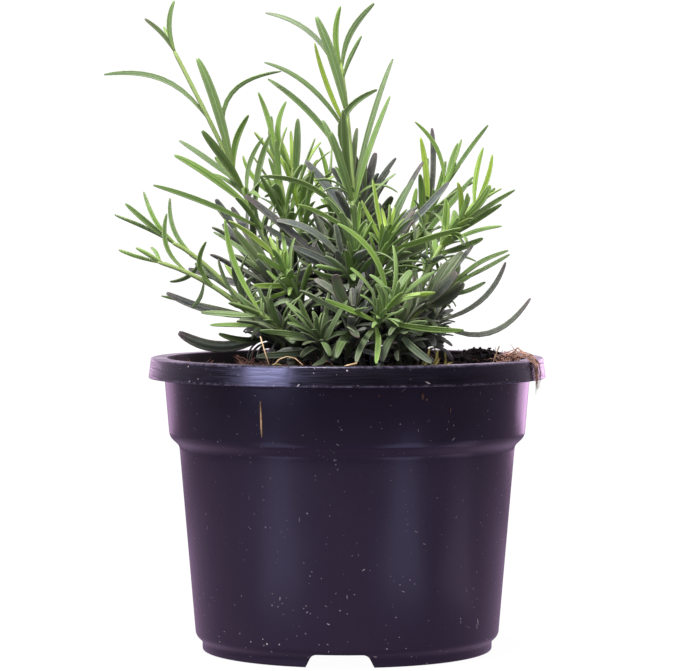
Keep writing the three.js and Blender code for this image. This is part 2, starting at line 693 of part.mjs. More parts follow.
// A leaf of the opposite pairs: each pair opens wider and grows longer than the one above.
function ruledLeaf(curve, shoot, pair, turn, random) {
  const share = 1 - ((pair + PAIR_FIRST) * PAIR_STEP) / curveLength(curve);
  const along = directionAt(curve, share);
  const a = unit(cross([0, 1, 0], along));
  const angle = turn + (random() - 0.5) * DRIFT.turn;
  const out = add(scaled(a, Math.cos(angle)), cross(along, a), Math.sin(angle));
  const opened = Math.min(PAIR_OPEN.first + PAIR_OPEN.step * pair, PAIR_OPEN.most);
  const open = opened + (random() - 0.5) * DRIFT.open;
  const grown = Math.min(PAIR_GROWTH.first + PAIR_GROWTH.step * pair, 1);
  const length = shoot.leaf * grown * (PAIR_GROWTH.short + PAIR_GROWTH.spread * random());
  const heading = (part) => add(scaled(along, Math.cos(open * part)), out, Math.sin(open * part));
  const start = curveAt(curve, share);
  const middle = add(start, heading(PAIR_OPEN.foot), length / 2);
  return {
    curve: [start, middle, add(middle, heading(PAIR_OPEN.tip), length / 2)],
    across: cross(along, out),
    roll: (random() - 0.5) * DRIFT.roll,
    width:
      PAIR_WIDTH.narrow + PAIR_WIDTH.spread * random() * grown +
      (shoot.tone === "old" ? PAIR_WIDTH.old : 0),
  };
}

function growAimed(grown) {
  SHOOTS.forEach((shoot, i) => {
    shoot.aims.forEach((aim, j) => {
      const seed = SEEDS.aims + i * SEEDS.shoot + j;
      const found = AIM_SHIFTS.some((shift) =>
        tryLeaf(aimedLeaf(stemCurve(shoot), aim, shift, randomFrom(seed)), i, grown),
      );
      if (!found) {
        console.warn("no room for leaf " + j + " of " + shoot.name);
      }
    });
  });
}

// Each leaf of a pair is turned a little further, to either side, until it has room.
function growPairedLeaf(shoot, i, pair, side, grown) {
  const random = randomFrom(SEEDS.pairs + i * SEEDS.shoot + pair * SEEDS.pair + side);
  const turn = i + (pair * Math.PI) / 2 + side * Math.PI;
  for (let attempt = 0; attempt < PAIR_TRIES.count; attempt++) {
    const swing = turn + (attempt % 2 ? PAIR_TRIES.swing : -PAIR_TRIES.swing) * attempt;
    if (tryLeaf(ruledLeaf(stemCurve(shoot), shoot, pair, swing, random), i, grown)) {
      return;
    }
  }
}

// The leaves of every shoot: first the aimed ones, then the opposite pairs from the top down.
function growLeaves() {
  const grown = SHOOTS.map(() => []);
  SHOOTS.forEach((shoot, i) => keep(stemBalls(shoot, i)));
  growAimed(grown);
  const most = Math.max(...SHOOTS.map(({ pairs }) => pairs));
  for (let pair = 0; pair < most; pair++) {
    SHOOTS.forEach((shoot, i) => {
      for (let side = 0; pair < shoot.pairs && side < 2; side++) {
        growPairedLeaf(shoot, i, pair, side, grown);
      }
    });
  }
  return grown;
}

function buildPlant(group) {
  growLeaves().forEach((leaves, i) => {
    const shoot = SHOOTS[i];
    const body = wasm.Manifold.union([stem(shoot), ...leaves.map(blade)]);
    group.add(mesh("shoot_" + shoot.name, body, FINISHES[shoot.tone]));
  });
}

const object = new THREE.Group();
object.name = "potted_lavender";
const facing = new THREE.Group();
facing.rotation.z = TURN;
facing.add(mesh("pot", pot(), FINISHES.pot));
facing.add(mesh("soil", soil(), FINISHES.soil));
buildPlant(facing);
object.add(facing);

export default object;
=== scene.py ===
import math
import random

import bmesh
import bpy
from mathutils import Matrix, Vector, noise


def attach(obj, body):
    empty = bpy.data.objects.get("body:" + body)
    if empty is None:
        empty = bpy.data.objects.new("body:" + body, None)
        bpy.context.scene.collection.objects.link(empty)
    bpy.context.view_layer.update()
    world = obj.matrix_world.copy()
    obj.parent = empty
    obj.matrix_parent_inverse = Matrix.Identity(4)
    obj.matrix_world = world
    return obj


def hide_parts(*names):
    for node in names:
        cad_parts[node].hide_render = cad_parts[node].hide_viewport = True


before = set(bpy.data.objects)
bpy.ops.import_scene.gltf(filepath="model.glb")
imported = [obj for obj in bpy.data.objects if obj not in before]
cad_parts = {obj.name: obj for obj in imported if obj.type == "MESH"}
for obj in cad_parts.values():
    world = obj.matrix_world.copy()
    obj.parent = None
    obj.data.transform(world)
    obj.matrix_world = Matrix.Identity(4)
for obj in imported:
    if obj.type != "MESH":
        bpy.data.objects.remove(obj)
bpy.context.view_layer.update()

# shapes are in millimetres with the camera looking along +Y, and each finished piece
# is turned and scaled into the part's frame, so its materials measure in metres
partTurn = math.radians(45)
intoPart = Matrix.Rotation(partTurn, 4, "Z") @ Matrix.Scale(0.001, 4)


def hexColour(code):
    channels = [int(code[i:i + 2], 16) / 255 for i in (0, 2, 4)]
    linear = [c / 12.92 if c < 0.04045 else ((c + 0.055) / 1.055) ** 2.4 for c in channels]
    return (*linear, 1.0)


def meshFrom(name, bm):
    mesh = bpy.data.meshes.new(name)
    bm.to_mesh(mesh)
    bm.free()
    return mesh


def showObject(name, data):
    made = bpy.data.objects.new(name, data)
    bpy.context.scene.collection.objects.link(made)
    return made


def finishPiece(name, bm, material, nodes=(), subdivision=0):
    bm.transform(intoPart)
    mesh = meshFrom(name, bm)
    mesh.polygons.foreach_set("use_smooth", [True] * len(mesh.polygons))
    mesh.materials.append(material)
    piece = showObject(name, mesh)
    if subdivision:
        smooth = piece.modifiers.new("smooth", "SUBSURF")
        smooth.levels = smooth.render_levels = subdivision
    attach(piece, "root")
    if nodes:
        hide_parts(*nodes)
    return piece


def feed(tree, socket, value):
    # a socket takes a link, a plain value, or a colour as six hex digits
    if isinstance(value, bpy.types.NodeSocket):
        tree.links.new(value, socket)
    else:
        socket.default_value = hexColour(value) if isinstance(value, str) else value


def addNode(tree, kind, inputs=None, **settings):
    made = tree.nodes.new("ShaderNode" + kind)
    for key, value in settings.items():
        setattr(made, key, value)
    for key, value in (inputs or {}).items():
        feed(tree, made.inputs[key], value)
    return made


def mixColours(tree, factor, first, second, blend="MIX"):
    # sockets 6 and 7 are the colours A and B of a colour mix
    return addNode(tree, "Mix", {0: factor, 6: first, 7: second},
                   data_type="RGBA", blend_type=blend).outputs[2]


def calculate(tree, operation, first, second=0.0, clamped=False):
    return addNode(tree, "Math", {0: first, 1: second},
                   operation=operation, use_clamp=clamped).outputs[0]


def times(tree, first, second, clamped=False):
    return calculate(tree, "MULTIPLY", first, second, clamped)


def plus(tree, first, second):
    return calculate(tree, "ADD", first, second)


def larger(tree, first, second):
    return calculate(tree, "MAXIMUM", first, second)


def spread(tree, value, low, high, toLow=0.0, toHigh=1.0):
    return addNode(tree, "MapRange", {"Value": value, "From Min": low, "From Max": high,
                                      "To Min": toLow, "To Max": toHigh}, clamp=True).outputs[0]


def laid(tree, base, colour, mask, strength):
    # a colour laid over the base where the mask is white
    return mixColours(tree, times(tree, mask, strength), base, colour)


def darkened(tree, base, level):
    grey = addNode(tree, "CombineColor", {channel: level for channel in range(3)})
    return mixColours(tree, 1.0, base, grey.outputs[0], "MULTIPLY")


def objectPlace(tree):
    return addNode(tree, "TexCoord").outputs["Object"]


def stretched(tree, place, scale):
    return addNode(tree, "Mapping", {"Vector": place, "Scale": scale}).outputs[0]


def noiseAt(tree, place, scale, detail, roughness=0.5):
    return addNode(tree, "TexNoise", {"Vector": place, "Scale": scale, "Detail": detail,
                                      "Roughness": roughness}).outputs[0]


def lengthOf(tree, vector):
    return addNode(tree, "VectorMath", {0: vector}, operation="LENGTH").outputs["Value"]


def bumpOf(tree, height, strength, distance, under=None):
    inputs = {"Height": height, "Strength": strength, "Distance": distance}
    if under is not None:
        inputs["Normal"] = under
    return addNode(tree, "Bump", inputs).outputs[0]


def rampOf(tree, factor, stops):
    ramp = addNode(tree, "ValToRGB", {"Fac": factor})
    elements = ramp.color_ramp.elements
    while len(elements) < len(stops):
        elements.new(0.5)
    for element, (place, code) in zip(elements, stops):
        element.position = place
        element.color = hexColour(code)
    return ramp.outputs[0]


def newMaterial(name, constants):
    made = bpy.data.materials.new(name)
    made.use_nodes = True
    tree = made.node_tree
    shader = tree.nodes["Principled BSDF"]
    for key, value in constants.items():
        feed(tree, shader.inputs[key], value)
    return made, tree, shader


def connect(tree, shader, base, roughness=None, bump=None):
    for label, value in (("Base Color", base), ("Roughness", roughness), ("Normal", bump)):
        if value is not None:
            tree.links.new(value, shader.inputs[label])


def newGroup(name, inputs, output):
    group = bpy.data.node_groups.new(name, "ShaderNodeTree")
    for label, kind, value in inputs:
        socket = group.interface.new_socket(name=label, in_out="INPUT", socket_type="NodeSocket" + kind)
        socket.default_value = value
    group.interface.new_socket(name=output, in_out="OUTPUT", socket_type="NodeSocketFloat")
    given = group.nodes.new("NodeGroupInput").outputs
    return group, given, group.nodes.new("NodeGroupOutput").inputs[output]


# specks: sparse small dots at random places, used for dust, grit and chips of peat
speckGroup, given, put = newGroup("specks", [
    ("Per Metre", "Float", 300.0), ("Size", "Float", 0.1), ("Share", "Float", 0.2),
    ("Stretch", "Vector", (1, 1, 1)), ("Turn", "Vector", (0, 0, 0))], "Mask")
drawn = addNode(speckGroup, "Mapping", {
    "Vector": objectPlace(speckGroup), "Scale": given["Stretch"], "Rotation": given["Turn"],
}, vector_type="TEXTURE").outputs[0]
cells = addNode(speckGroup, "TexVoronoi",
                {"Vector": drawn, "Scale": given["Per Metre"], "Randomness": 1.0}).outputs
chosen = addNode(speckGroup, "SeparateColor", {0: cells["Color"]}).outputs
ownSize = times(speckGroup, given["Size"], spread(speckGroup, chosen[1], 0, 1, 0.35, 1))
dot = calculate(speckGroup, "LESS_THAN", cells["Distance"], ownSize)
kept = calculate(speckGroup, "LESS_THAN", chosen[0], given["Share"])
speckGroup.links.new(times(speckGroup, dot, kept), put)

# mottle: a soft cloud of light and dark at one scale
mottleGroup, given, put = newGroup("mottle", [
    ("Per Metre", "Float", 100.0), ("Low", "Float", 0.0), ("High", "Float", 1.0)], "Value")
cloud = noiseAt(mottleGroup, objectPlace(mottleGroup), given["Per Metre"], 4.0, 0.6)
mottleGroup.links.new(spread(mottleGroup, cloud, 0.3, 0.7, given["Low"], given["High"]), put)


def specks(tree, perMetre, size, share, stretch=(1, 1, 1), turn=(0, 0, 0)):
    return addNode(tree, "Group", {"Per Metre": perMetre, "Size": size, "Share": share,
                                   "Stretch": stretch, "Turn": turn}, node_tree=speckGroup).outputs[0]


def mottle(tree, perMetre, low=0.0, high=1.0):
    return addNode(tree, "Group", {"Per Metre": perMetre, "Low": low, "High": high},
                   node_tree=mottleGroup).outputs[0]


print("helpers ready")


pot = dict(
    height=95.8, wall=1.2, turns=160,
    rimTop=64.2, rimSkirt=65.0, skirtFoot=89.2,
    bandTop=59.8, bandFoot=58.2, bandFootZ=70.0,
    shoulder=55.0, shoulderZ=67.1,
    base=49.7, baseZ=4.9, foot=47.5, footInner=44.6, footZ=3.0,
    floorLow=5.0, floorTop=6.2,
    gaps=3, gapTurn=-2.8, gapTop=17.5, gapBottom=22.8, gapHeight=4.3, gapCorner=1.6,
    gapInside=3, gapDepth=24, drains=6, drainRadius=4.0, drainCircle=31.0, drainDepth=4,
    # edges sharper than this many degrees stay crisp; a face that looks this far inwards,
    # this many metres from the centre, is the dusty inner wall
    sharpFrom=38, inwards=-0.4, innerFrom=0.03,
    plastic=("0c0a11", "131018"), filmAndLight="332a3a", dust="cfc2ca", rimEdgeHighlight="8f86a6", grit="6b4332",
    inside=("080608", "151013"), insideDust="4a3228",
    # specks of dust: how many a metre, size and share, then scratches: how many a metre and their turn
    dots=[(560.0, 0.12, 0.34), (330.0, 0.095, 0.28), (170.0, 0.06, 0.45)],
    scratches=[(400.0, (0.25, 0.2, 0)), (370.0, (-0.8, 0.6, 0)), (380.0, (0.9, -0.9, 0))],
    scratchSize=0.075, scratchShare=0.7, scratchStretch=(1, 1, 7),
    # heights and radii in metres: where the lighter film ends (dried water and painted light),
    # where dust thickens, where the rim's fine lines start, and its two edges with a painted highlight
    filmAndLightEnd=(0.071, 0.064), dustLow=(0.034, 0.006, 0.38, 1.6), dustHigh=(0.08, 0.088),
    rimFrom=(0.088, 0.0885), topEdge=(0.0949, 0.0954), topEdgeOut=(0.0634, 0.0637),
    lowEdge=(0.0901, 0.0896), lowEdgeFoot=(0.0890, 0.0892),
)


def potProfile():
    p, wall = pot, pot["wall"]
    return [
        (p["footInner"], 0.0, 0.4), (p["foot"], 0.0, 0.7), (p["foot"], p["footZ"], 0.9),
        (p["base"], p["baseZ"], 1.6), (p["shoulder"], p["shoulderZ"], 1.2),
        (p["bandFoot"], p["bandFootZ"], 1.6), (p["bandTop"], p["skirtFoot"], 0),
        (p["bandTop"], p["height"] - wall, 0.8),
        (p["rimTop"] - wall, p["height"] - wall, 0.6),
        (p["rimSkirt"] - wall, p["skirtFoot"], 0.3), (p["rimSkirt"], p["skirtFoot"], 0.35),
        (p["rimTop"], p["height"], 0.6), (p["bandTop"] - wall, p["height"], 0.6),
        (p["bandFoot"] - wall, p["bandFootZ"] + 0.6, 1.2),
        (p["shoulder"] - wall, p["shoulderZ"] + 0.4, 1.2),
        (p["base"] - wall, p["floorTop"], 1.5), (0.0, p["floorTop"], 0),
        (0.0, p["floorLow"], 0), (p["footInner"], p["floorLow"], 0.5),
    ]


def roundedOutline(bm, corners, steps=4):
    # a bmesh loop in the XZ plane whose corners are rounded by their own radius
    ring = []
    count = len(corners)
    for i, (x, z, radius) in enumerate(corners):
        here = Vector((x, 0, z))
        if not radius:
            ring.append(here)
            continue
        before = Vector((corners[i - 1][0], 0, corners[i - 1][1]))
        after = Vector((corners[(i + 1) % count][0], 0, corners[(i + 1) % count][1]))
        reach = min(radius, (before - here).length * 0.45, (after - here).length * 0.45)
        start = here + (before - here).normalized() * reach
        end = here + (after - here).normalized() * reach
        for step in range(steps + 1):
            u = step / steps
            ring.append(start * (1 - u) ** 2 + here * (2 * u * (1 - u)) + end * u ** 2)
    verts = [bm.verts.new(point) for point in ring]
    return [bm.edges.new((verts[i], verts[(i + 1) % len(verts)])) for i in range(len(verts))]


def gapCutter(degrees):
    # a block that cuts one gap through the foot ring, wider at its foot
    low, high = pot["gapBottom"] / 2, pot["gapTop"] / 2
    bm = bmesh.new()
    outline = roundedOutline(bm, [
        (-low, -1, 0), (low, -1, 0),
        (high, pot["gapHeight"], pot["gapCorner"]), (-high, pot["gapHeight"], pot["gapCorner"])], 5)
    face = bmesh.ops.contextual_create(bm, geom=outline)["faces"]
    grown = bmesh.ops.extrude_face_region(bm, geom=face)["geom"]
    bmesh.ops.translate(bm, vec=(0, -pot["gapDepth"], 0),
                        verts=[g for g in grown if isinstance(g, bmesh.types.BMVert)])
    bmesh.ops.translate(bm, vec=(0, -pot["footInner"] + pot["gapInside"], 0), verts=bm.verts)
    bmesh.ops.recalc_face_normals(bm, faces=bm.faces)
    bm.transform(Matrix.Rotation(math.radians(degrees), 4, "Z"))
    return meshFrom("gap", bm)


def cutWith(target, cutters):
    tool = showObject("cutters", meshFrom("cutters", cutters))
    cut = target.modifiers.new("cut", "BOOLEAN")
    cut.object, cut.operation, cut.solver = tool, "DIFFERENCE", "EXACT"
    done = bpy.data.meshes.new_from_object(target.evaluated_get(bpy.context.evaluated_depsgraph_get()))
    target.modifiers.clear()
    target.data = done
    mesh = tool.data
    bpy.data.objects.remove(tool)
    bpy.data.meshes.remove(mesh)


def makePot(material, insideMaterial):
    bm = bmesh.new()
    outline = roundedOutline(bm, potProfile())
    bmesh.ops.spin(bm, geom=outline + list({v for e in outline for v in e.verts}),
                   axis=(0, 0, 1), cent=(0, 0, 0), angle=math.tau,
                   steps=pot["turns"], use_merge=True)
    bmesh.ops.remove_doubles(bm, verts=bm.verts, dist=0.001)
    bmesh.ops.recalc_face_normals(bm, faces=bm.faces)
    shell = showObject("potShell", meshFrom("potShell", bm))
    cutters = bmesh.new()
    for i in range(pot["gaps"]):
        gap = gapCutter(pot["gapTurn"] + 360 / pot["gaps"] * i)
        cutters.from_mesh(gap)
        bpy.data.meshes.remove(gap)
    for i in range(pot["drains"]):
        turn = Matrix.Rotation(math.tau * i / pot["drains"], 4, "Z")
        spot = turn @ Matrix.Translation((0, pot["drainCircle"], pot["floorLow"] + pot["wall"] / 2))
        bmesh.ops.create_cone(cutters, cap_ends=True, segments=32, radius1=pot["drainRadius"],
                              radius2=pot["drainRadius"], depth=pot["drainDepth"], matrix=spot)
    cutWith(shell, cutters)
    bm = bmesh.new()
    bm.from_mesh(shell.data)
    bpy.data.objects.remove(shell)
    piece = finishPiece("pot_shell", bm, material, ["pot"])
    piece.data.set_sharp_from_angle(angle=math.radians(pot["sharpFrom"]))
    piece.data.materials.append(insideMaterial)
    for face in piece.data.polygons:
        outward = Vector((face.center.x, face.center.y, 0)).normalized()
        if outward.dot(face.normal) < pot["inwards"] and face.center.length > pot["innerFrom"]:
            face.material_index = 1


def dustyInside():
    # the wall inside the rim is dull with dried peat
    made, tree, shader = newMaterial("dusty inner wall", {"Specular IOR Level": 0.18})
    clouds = mottle(tree, 120.0)
    crumbs = specks(tree, 380.0, 0.16, 0.3)
    base = laid(tree, mixColours(tree, clouds, *pot["inside"]), pot["insideDust"], crumbs, 0.7)
    connect(tree, shader, base, spread(tree, clouds, 0, 1, 0.5, 0.75), bumpOf(tree, crumbs, 0.5, 0.0003))
    return made


def potPlastic():
    made, tree, shader = newMaterial("dark moulded plastic", {
        "Specular IOR Level": 0.5, "Specular Tint": (0.74, 0.72, 1.0, 1),
        "Sheen Weight": 0.05, "Sheen Roughness": 0.3, "Sheen Tint": "e09ce6"})
    position = objectPlace(tree)
    height = addNode(tree, "SeparateXYZ", {0: position}).outputs["Z"]
    base = mixColours(tree, mottle(tree, 45.0), *pot["plastic"])
    # a lighter film is laid on the lower wall, partly dried water that dulls it and partly painted light, so
    # the upper band under the rim stays darker as painted shade
    filmAndLight = times(tree, spread(tree, height, *pot["filmAndLightEnd"]), mottle(tree, 16.0, 0.5, 1.0))
    base = laid(tree, base, pot["filmAndLight"], filmAndLight, 0.4)
    # dust lies as pale dots and short scratches, more of them low down and under the rim
    marks = [specks(tree, *dots) for dots in pot["dots"]]
    marks += [specks(tree, perMetre, pot["scratchSize"], pot["scratchShare"], pot["scratchStretch"], turn)
              for perMetre, turn in pot["scratches"]]
    dust = marks[0]
    for more in marks[1:]:
        dust = larger(tree, dust, more)
    thick = larger(tree, spread(tree, height, *pot["dustLow"]), spread(tree, height, *pot["dustHigh"]))
    dust = times(tree, times(tree, dust, thick), mottle(tree, 75.0, -0.1, 1.15), True)
    base = laid(tree, base, pot["dust"], dust, 0.8)
    # a pale line is painted along the rim's two outer edges as their highlight, broken up by a mottle
    flat = addNode(tree, "VectorMath", {0: position, 1: (1, 1, 0)}, operation="MULTIPLY").outputs[0]
    topEdge = times(tree, spread(tree, height, *pot["topEdge"]),
                    spread(tree, lengthOf(tree, flat), *pot["topEdgeOut"]))
    lowEdge = times(tree, spread(tree, height, *pot["lowEdge"]), spread(tree, height, *pot["lowEdgeFoot"]))
    rimEdgeHighlight = times(tree, larger(tree, topEdge, lowEdge), mottle(tree, 700.0, -0.3, 0.9), True)
    base = laid(tree, base, pot["rimEdgeHighlight"], rimEdgeHighlight, 0.3)
    # reddish peat grit
    base = laid(tree, base, pot["grit"], specks(tree, 210.0, 0.08, 0.06), 0.8)
    # fine lines run round the rim, as the mould's turning left them
    turnings = noiseAt(tree, stretched(tree, position, (0.05, 0.05, 1)), 1900.0, 2.0)
    lined = times(tree, spread(tree, turnings, 0.35, 0.65, -0.07, 0.12),
                  spread(tree, height, *pot["rimFrom"]))
    dull = plus(tree, plus(tree, times(tree, dust, 0.3), times(tree, filmAndLight, 0.06)), lined)
    roughness = plus(tree, mottle(tree, 22.0, 0.2, 0.27), dull)
    # the wall has shallow upright waves, and the dust stands on it
    waves = noiseAt(tree, stretched(tree, position, (1, 1, 0.12)), 260.0, 3.0, 0.55)
    bump = bumpOf(tree, dust, 0.5, 0.0002, bumpOf(tree, waves, 0.08, 0.0004))
    connect(tree, shader, base, roughness, bump)
    return made


makePot(potPlastic(), dustyInside())
print("pot made")


rootBall = dict(
    level=90.8, gap=0.35, heapX=44.0, heapY=22.0, heapHeight=6.0, heapSpread=15.0,
    lump=0.5, lumpX=0.21, lumpY=0.17, segments=180, rings=58, edge=57.3, lip=86.0,
    # how far it stands in from the wall, and how far its lip, band and base differ from the pot's
    slack=0.2, lipOut=1.1, bandRise=1.4, baseIn=1,
    # clods and grains: how many a millimetre and how high, all times the roughness
    clods=(0.16, 0.9), grains=(1.1, 0.35), roughness=1.15,
    shades=[(0.2, "050404"), (0.5, "0e0b0b"), (0.75, "1e1513"), (0.95, "432c23")], chips="7c5032",
    crumbs=2600, crumbsOut=56.2, crumbLeast=0.25, crumbMore=1.05, crumbLift=0.25, crumbRough=0.22,
    crumbWide=(0.45, 1.3), crumbHigh=(0.4, 0.9),
    fibres=260, fibresOut=54.0, fibreRise=(-0.05, 0.35), fibreLength=(2, 8), fibreLift=(-0.12, 0.08),
    fibreRadius=(0.1, 0.24), fibreCurl=0.45, fibreSunk=0.2,
    # thicker tangles of brown fibre: x, y, spread and how many
    tangles=[(-31, -23, 4.5, 110), (-46, -12, 3.5, 40), (-13, -27, 4, 60), (22, -33, 5, 40),
             (44, -22, 6, 18)],
    # small heaps of loose peat: x, y, height and spread
    mounds=[(-31, -22, 3.6, 6.5), (-46, -12, 2.4, 5.0), (-13, -25, 3.6, 5.5)],
)


def soilHeight(x, y):
    away = ((x - rootBall["heapX"]) ** 2 + (y - rootBall["heapY"]) ** 2) / rootBall["heapSpread"] ** 2
    lumps = rootBall["lump"] * math.sin(x * rootBall["lumpX"] + 1) * math.cos(y * rootBall["lumpY"])
    return rootBall["level"] + lumps + rootBall["heapHeight"] * math.exp(-away)


def soilSurface(x, y):
    # the plain height with clods, grains and small heaps on it
    (clodScale, clodHigh), (grainScale, grainHigh) = rootBall["clods"], rootBall["grains"]
    clods = noise.fractal(Vector((x, y, 4.0)) * clodScale, 1.0, 2.0, 5) * clodHigh
    grains = noise.noise(Vector((x, y, 9.0)) * grainScale) * grainHigh
    heaped = sum(high * math.exp(-((x - middleX) ** 2 + (y - middleY) ** 2) / spreadHere ** 2)
                 for middleX, middleY, high, spreadHere in rootBall["mounds"])
    return soilHeight(x, y) + heaped + (clods + grains) * rootBall["roughness"]


def grownEdges(bm, edges):
    # extrudes the edges once: the new vertices and the new edges
    grown = bmesh.ops.extrude_edge_only(bm, edges=edges)["geom"]
    return ([g for g in grown if isinstance(g, bmesh.types.BMVert)],
            [g for g in grown if isinstance(g, bmesh.types.BMEdge)])


def makeSoil(material):
    inset = pot["wall"] + rootBall["gap"] + rootBall["slack"]
    edge = rootBall["edge"]
    walls = [(pot["bandFoot"] - inset + rootBall["lipOut"], rootBall["lip"]),
             (pot["bandFoot"] - inset, pot["bandFootZ"] + rootBall["bandRise"]),
             (pot["shoulder"] - inset, pot["shoulderZ"]),
             (pot["base"] - inset - rootBall["baseIn"], pot["floorTop"] + rootBall["gap"])]
    top = [(edge * (1 - i / rootBall["rings"]), None) for i in range(1, rootBall["rings"])]
    bm = bmesh.new()
    ring = bmesh.ops.create_circle(bm, segments=rootBall["segments"], radius=edge)["verts"]
    outer = list({e for v in ring for e in v.link_edges})
    bmesh.ops.translate(bm, vec=(0, 0, rootBall["level"]), verts=ring)
    # rings go down the walls to the base, then inwards over the top
    for rings in (walls, top):
        edges, radius = outer, edge
        for nextRadius, z in rings:
            verts, edges = grownEdges(bm, edges)
            bmesh.ops.scale(bm, vec=(nextRadius / radius, nextRadius / radius, 1), verts=verts)
            if z:
                for v in verts:
                    v.co.z = z
            radius = nextRadius
        bmesh.ops.contextual_create(bm, geom=edges)
    for v in bm.verts:
        if v.co.z > rootBall["lip"]:
            v.co.z = soilSurface(v.co.x, v.co.y)
    bmesh.ops.recalc_face_normals(bm, faces=bm.faces)
    finishPiece("peat_root_ball", bm, material, ["soil"])


def peat():
    made, tree, shader = newMaterial("dark peat", {"Specular IOR Level": 0.12, "Roughness": 0.95})
    shade = plus(tree, times(tree, mottle(tree, 160.0), 0.55), times(tree, mottle(tree, 1400.0), 0.45))
    base = rampOf(tree, shade, rootBall["shades"])
    base = laid(tree, base, rootBall["chips"], specks(tree, 520.0, 0.22, 0.09), 0.6)
    lumps = noiseAt(tree, objectPlace(tree), 900.0, 6.0, 0.7)
    connect(tree, shader, base, bump=bumpOf(tree, lumps, 0.9, 0.0012))
    return made


def makeCrumbs(material):
    rule = rootBall
    draw = random.Random(11)
    bm = bmesh.new()
    for _ in range(rule["crumbs"]):
        angle, out = draw.uniform(0, math.tau), rule["crumbsOut"] * math.sqrt(draw.random())
        x, y = out * math.cos(angle), out * math.sin(angle)
        size = rule["crumbLeast"] + rule["crumbMore"] * draw.random() ** 4
        first = len(bm.verts)
        spot = Matrix.Translation((x, y, soilSurface(x, y) + size * rule["crumbLift"]))
        turn = Matrix.Rotation(draw.uniform(0, math.tau), 4, Vector((draw.random(), draw.random(), 0.5)))
        squash = Matrix.Diagonal((1, draw.uniform(*rule["crumbWide"]), draw.uniform(*rule["crumbHigh"]), 1))
        bmesh.ops.create_icosphere(bm, subdivisions=1, radius=size, matrix=spot @ turn @ squash)
        bm.verts.ensure_lookup_table()
        rough = rule["crumbRough"]
        for v in bm.verts[first:]:
            v.co += Vector([draw.uniform(-rough, rough) * size for _ in range(3)])
    finishPiece("peat_crumbs", bm, material)


def threadThrough(bm, points, radii, sides):
    # a closed tube: one circle carried along the points
    turned = []
    for i, point in enumerate(points):
        ahead = points[min(i + 1, len(points) - 1)] - points[max(i - 1, 0)]
        turned.append(Matrix.Translation(point) @ ahead.to_track_quat("Z", "Y").to_matrix().to_4x4())
    start = bmesh.ops.create_circle(bm, cap_ends=True, segments=sides, radius=1)["verts"]
    cap = next(iter(start[0].link_faces))
    edges = list(cap.edges)
    rings = [start]
    for _ in points[1:]:
        verts, edges = grownEdges(bm, edges)
        rings.append(verts)
    bmesh.ops.contextual_create(bm, geom=edges)
    # each ring still lies on the first circle, so its own frame is applied at once
    for ring, frameHere, radius in zip(rings, turned, radii):
        for v in ring:
            v.co = frameHere @ (v.co * radius)
    bmesh.ops.reverse_faces(bm, faces=[cap])
    bmesh.ops.recalc_face_normals(bm, faces=list({f for ring in rings for v in ring for f in v.link_faces}))


def fibreAt(bm, draw, start, heading, length, lift, radius, curl, steps=6):
    points = [start]
    for _ in range(steps):
        heading = (heading + Vector([draw.uniform(-curl, curl) for _ in range(3)])).normalized()
        points.append(points[-1] + (heading + Vector((0, 0, lift))) * (length / steps))
    radii = [radius * (1 - 0.65 * (i / steps) ** 2) for i in range(steps + 1)]
    threadThrough(bm, points, radii, 3)


def makeFibres(material):
    rule = rootBall
    draw = random.Random(29)
    bm = bmesh.new()
    spots = []
    for _ in range(rule["fibres"]):
        angle, out = draw.uniform(0, math.tau), rule["fibresOut"] * math.sqrt(draw.random())
        spots.append((out * math.cos(angle), out * math.sin(angle)))
    for middleX, middleY, apart, count in rule["tangles"]:
        for _ in range(count):
            x, y = draw.gauss(middleX, apart), draw.gauss(middleY, apart * 0.7)
            inward = min(1.0, rule["fibresOut"] / math.hypot(x, y))
            spots.append((x * inward, y * inward))
    for x, y in spots:
        heading = Vector((draw.uniform(-1, 1), draw.uniform(-1, 1), draw.uniform(*rule["fibreRise"])))
        start = Vector((x, y, soilSurface(x, y) - rule["fibreSunk"]))
        fibreAt(bm, draw, start, heading.normalized(), draw.uniform(*rule["fibreLength"]),
                draw.uniform(*rule["fibreLift"]), draw.uniform(*rule["fibreRadius"]), rule["fibreCurl"])
    finishPiece("peat_fibres", bm, material)


coir = dict(
    loose=125, x=52.6, y=-18.5, spreadX=2.2, spreadY=4.0, edge=56.6, above=(0.3, 4.2),
    headingX=(-1, 0.7), headingZ=(-0.1, 0.8), length=(3, 8.5), droop=-0.08, curl=0.75,
    thickness=0.16, looseThick=(0.6, 1.7), hangingThick=(0.6, 1.5), endRadius=0.05,
    # where a fibre crosses the rim: distance from the axis, spread, lowest and highest
    hanging=13, rimAngle=-0.38, rimSpread=0.026, jitter=0.18,
    over=[(54, 2, 95, 98.5), (59, 1.2, 96.6, 99.5), (63, 0.6, 96.2, 97.8)],
    # then down outside it: where they bend, and how far down they hang
    bend=94.6, bendOut=65.3, bendApart=0.5, downOut=65.7, downApart=0.8,
    endOut=65.6, endMore=0.9, endApart=1.4, hangTo=(84.5, 95),
)
straws = [  # thin dry pieces: their points, then the radius
    ([(-27.5, -36, 104), (-26, -36.5, 99), (-24.2, -37, 93.5)], 0.22),
    ([(-24, -39, 93.0), (-23, -39, 95.2), (-21.3, -39, 96.9), (-19, -39, 97.7), (-16.5, -39, 97.2),
      (-14.4, -39, 95.4), (-13, -39, 93.0)], 0.18),
    ([(-3.2, -45, 94.0), (0, -46, 95.2), (3.2, -45.5, 95.9)], 0.33),
    ([(47.4, -10, 94), (48.2, -10, 96.8), (49.4, -10.5, 99.8)], 0.22),
]
witheredShape = (1, 1.2, 0.4)  # the radius at root, bend and tip
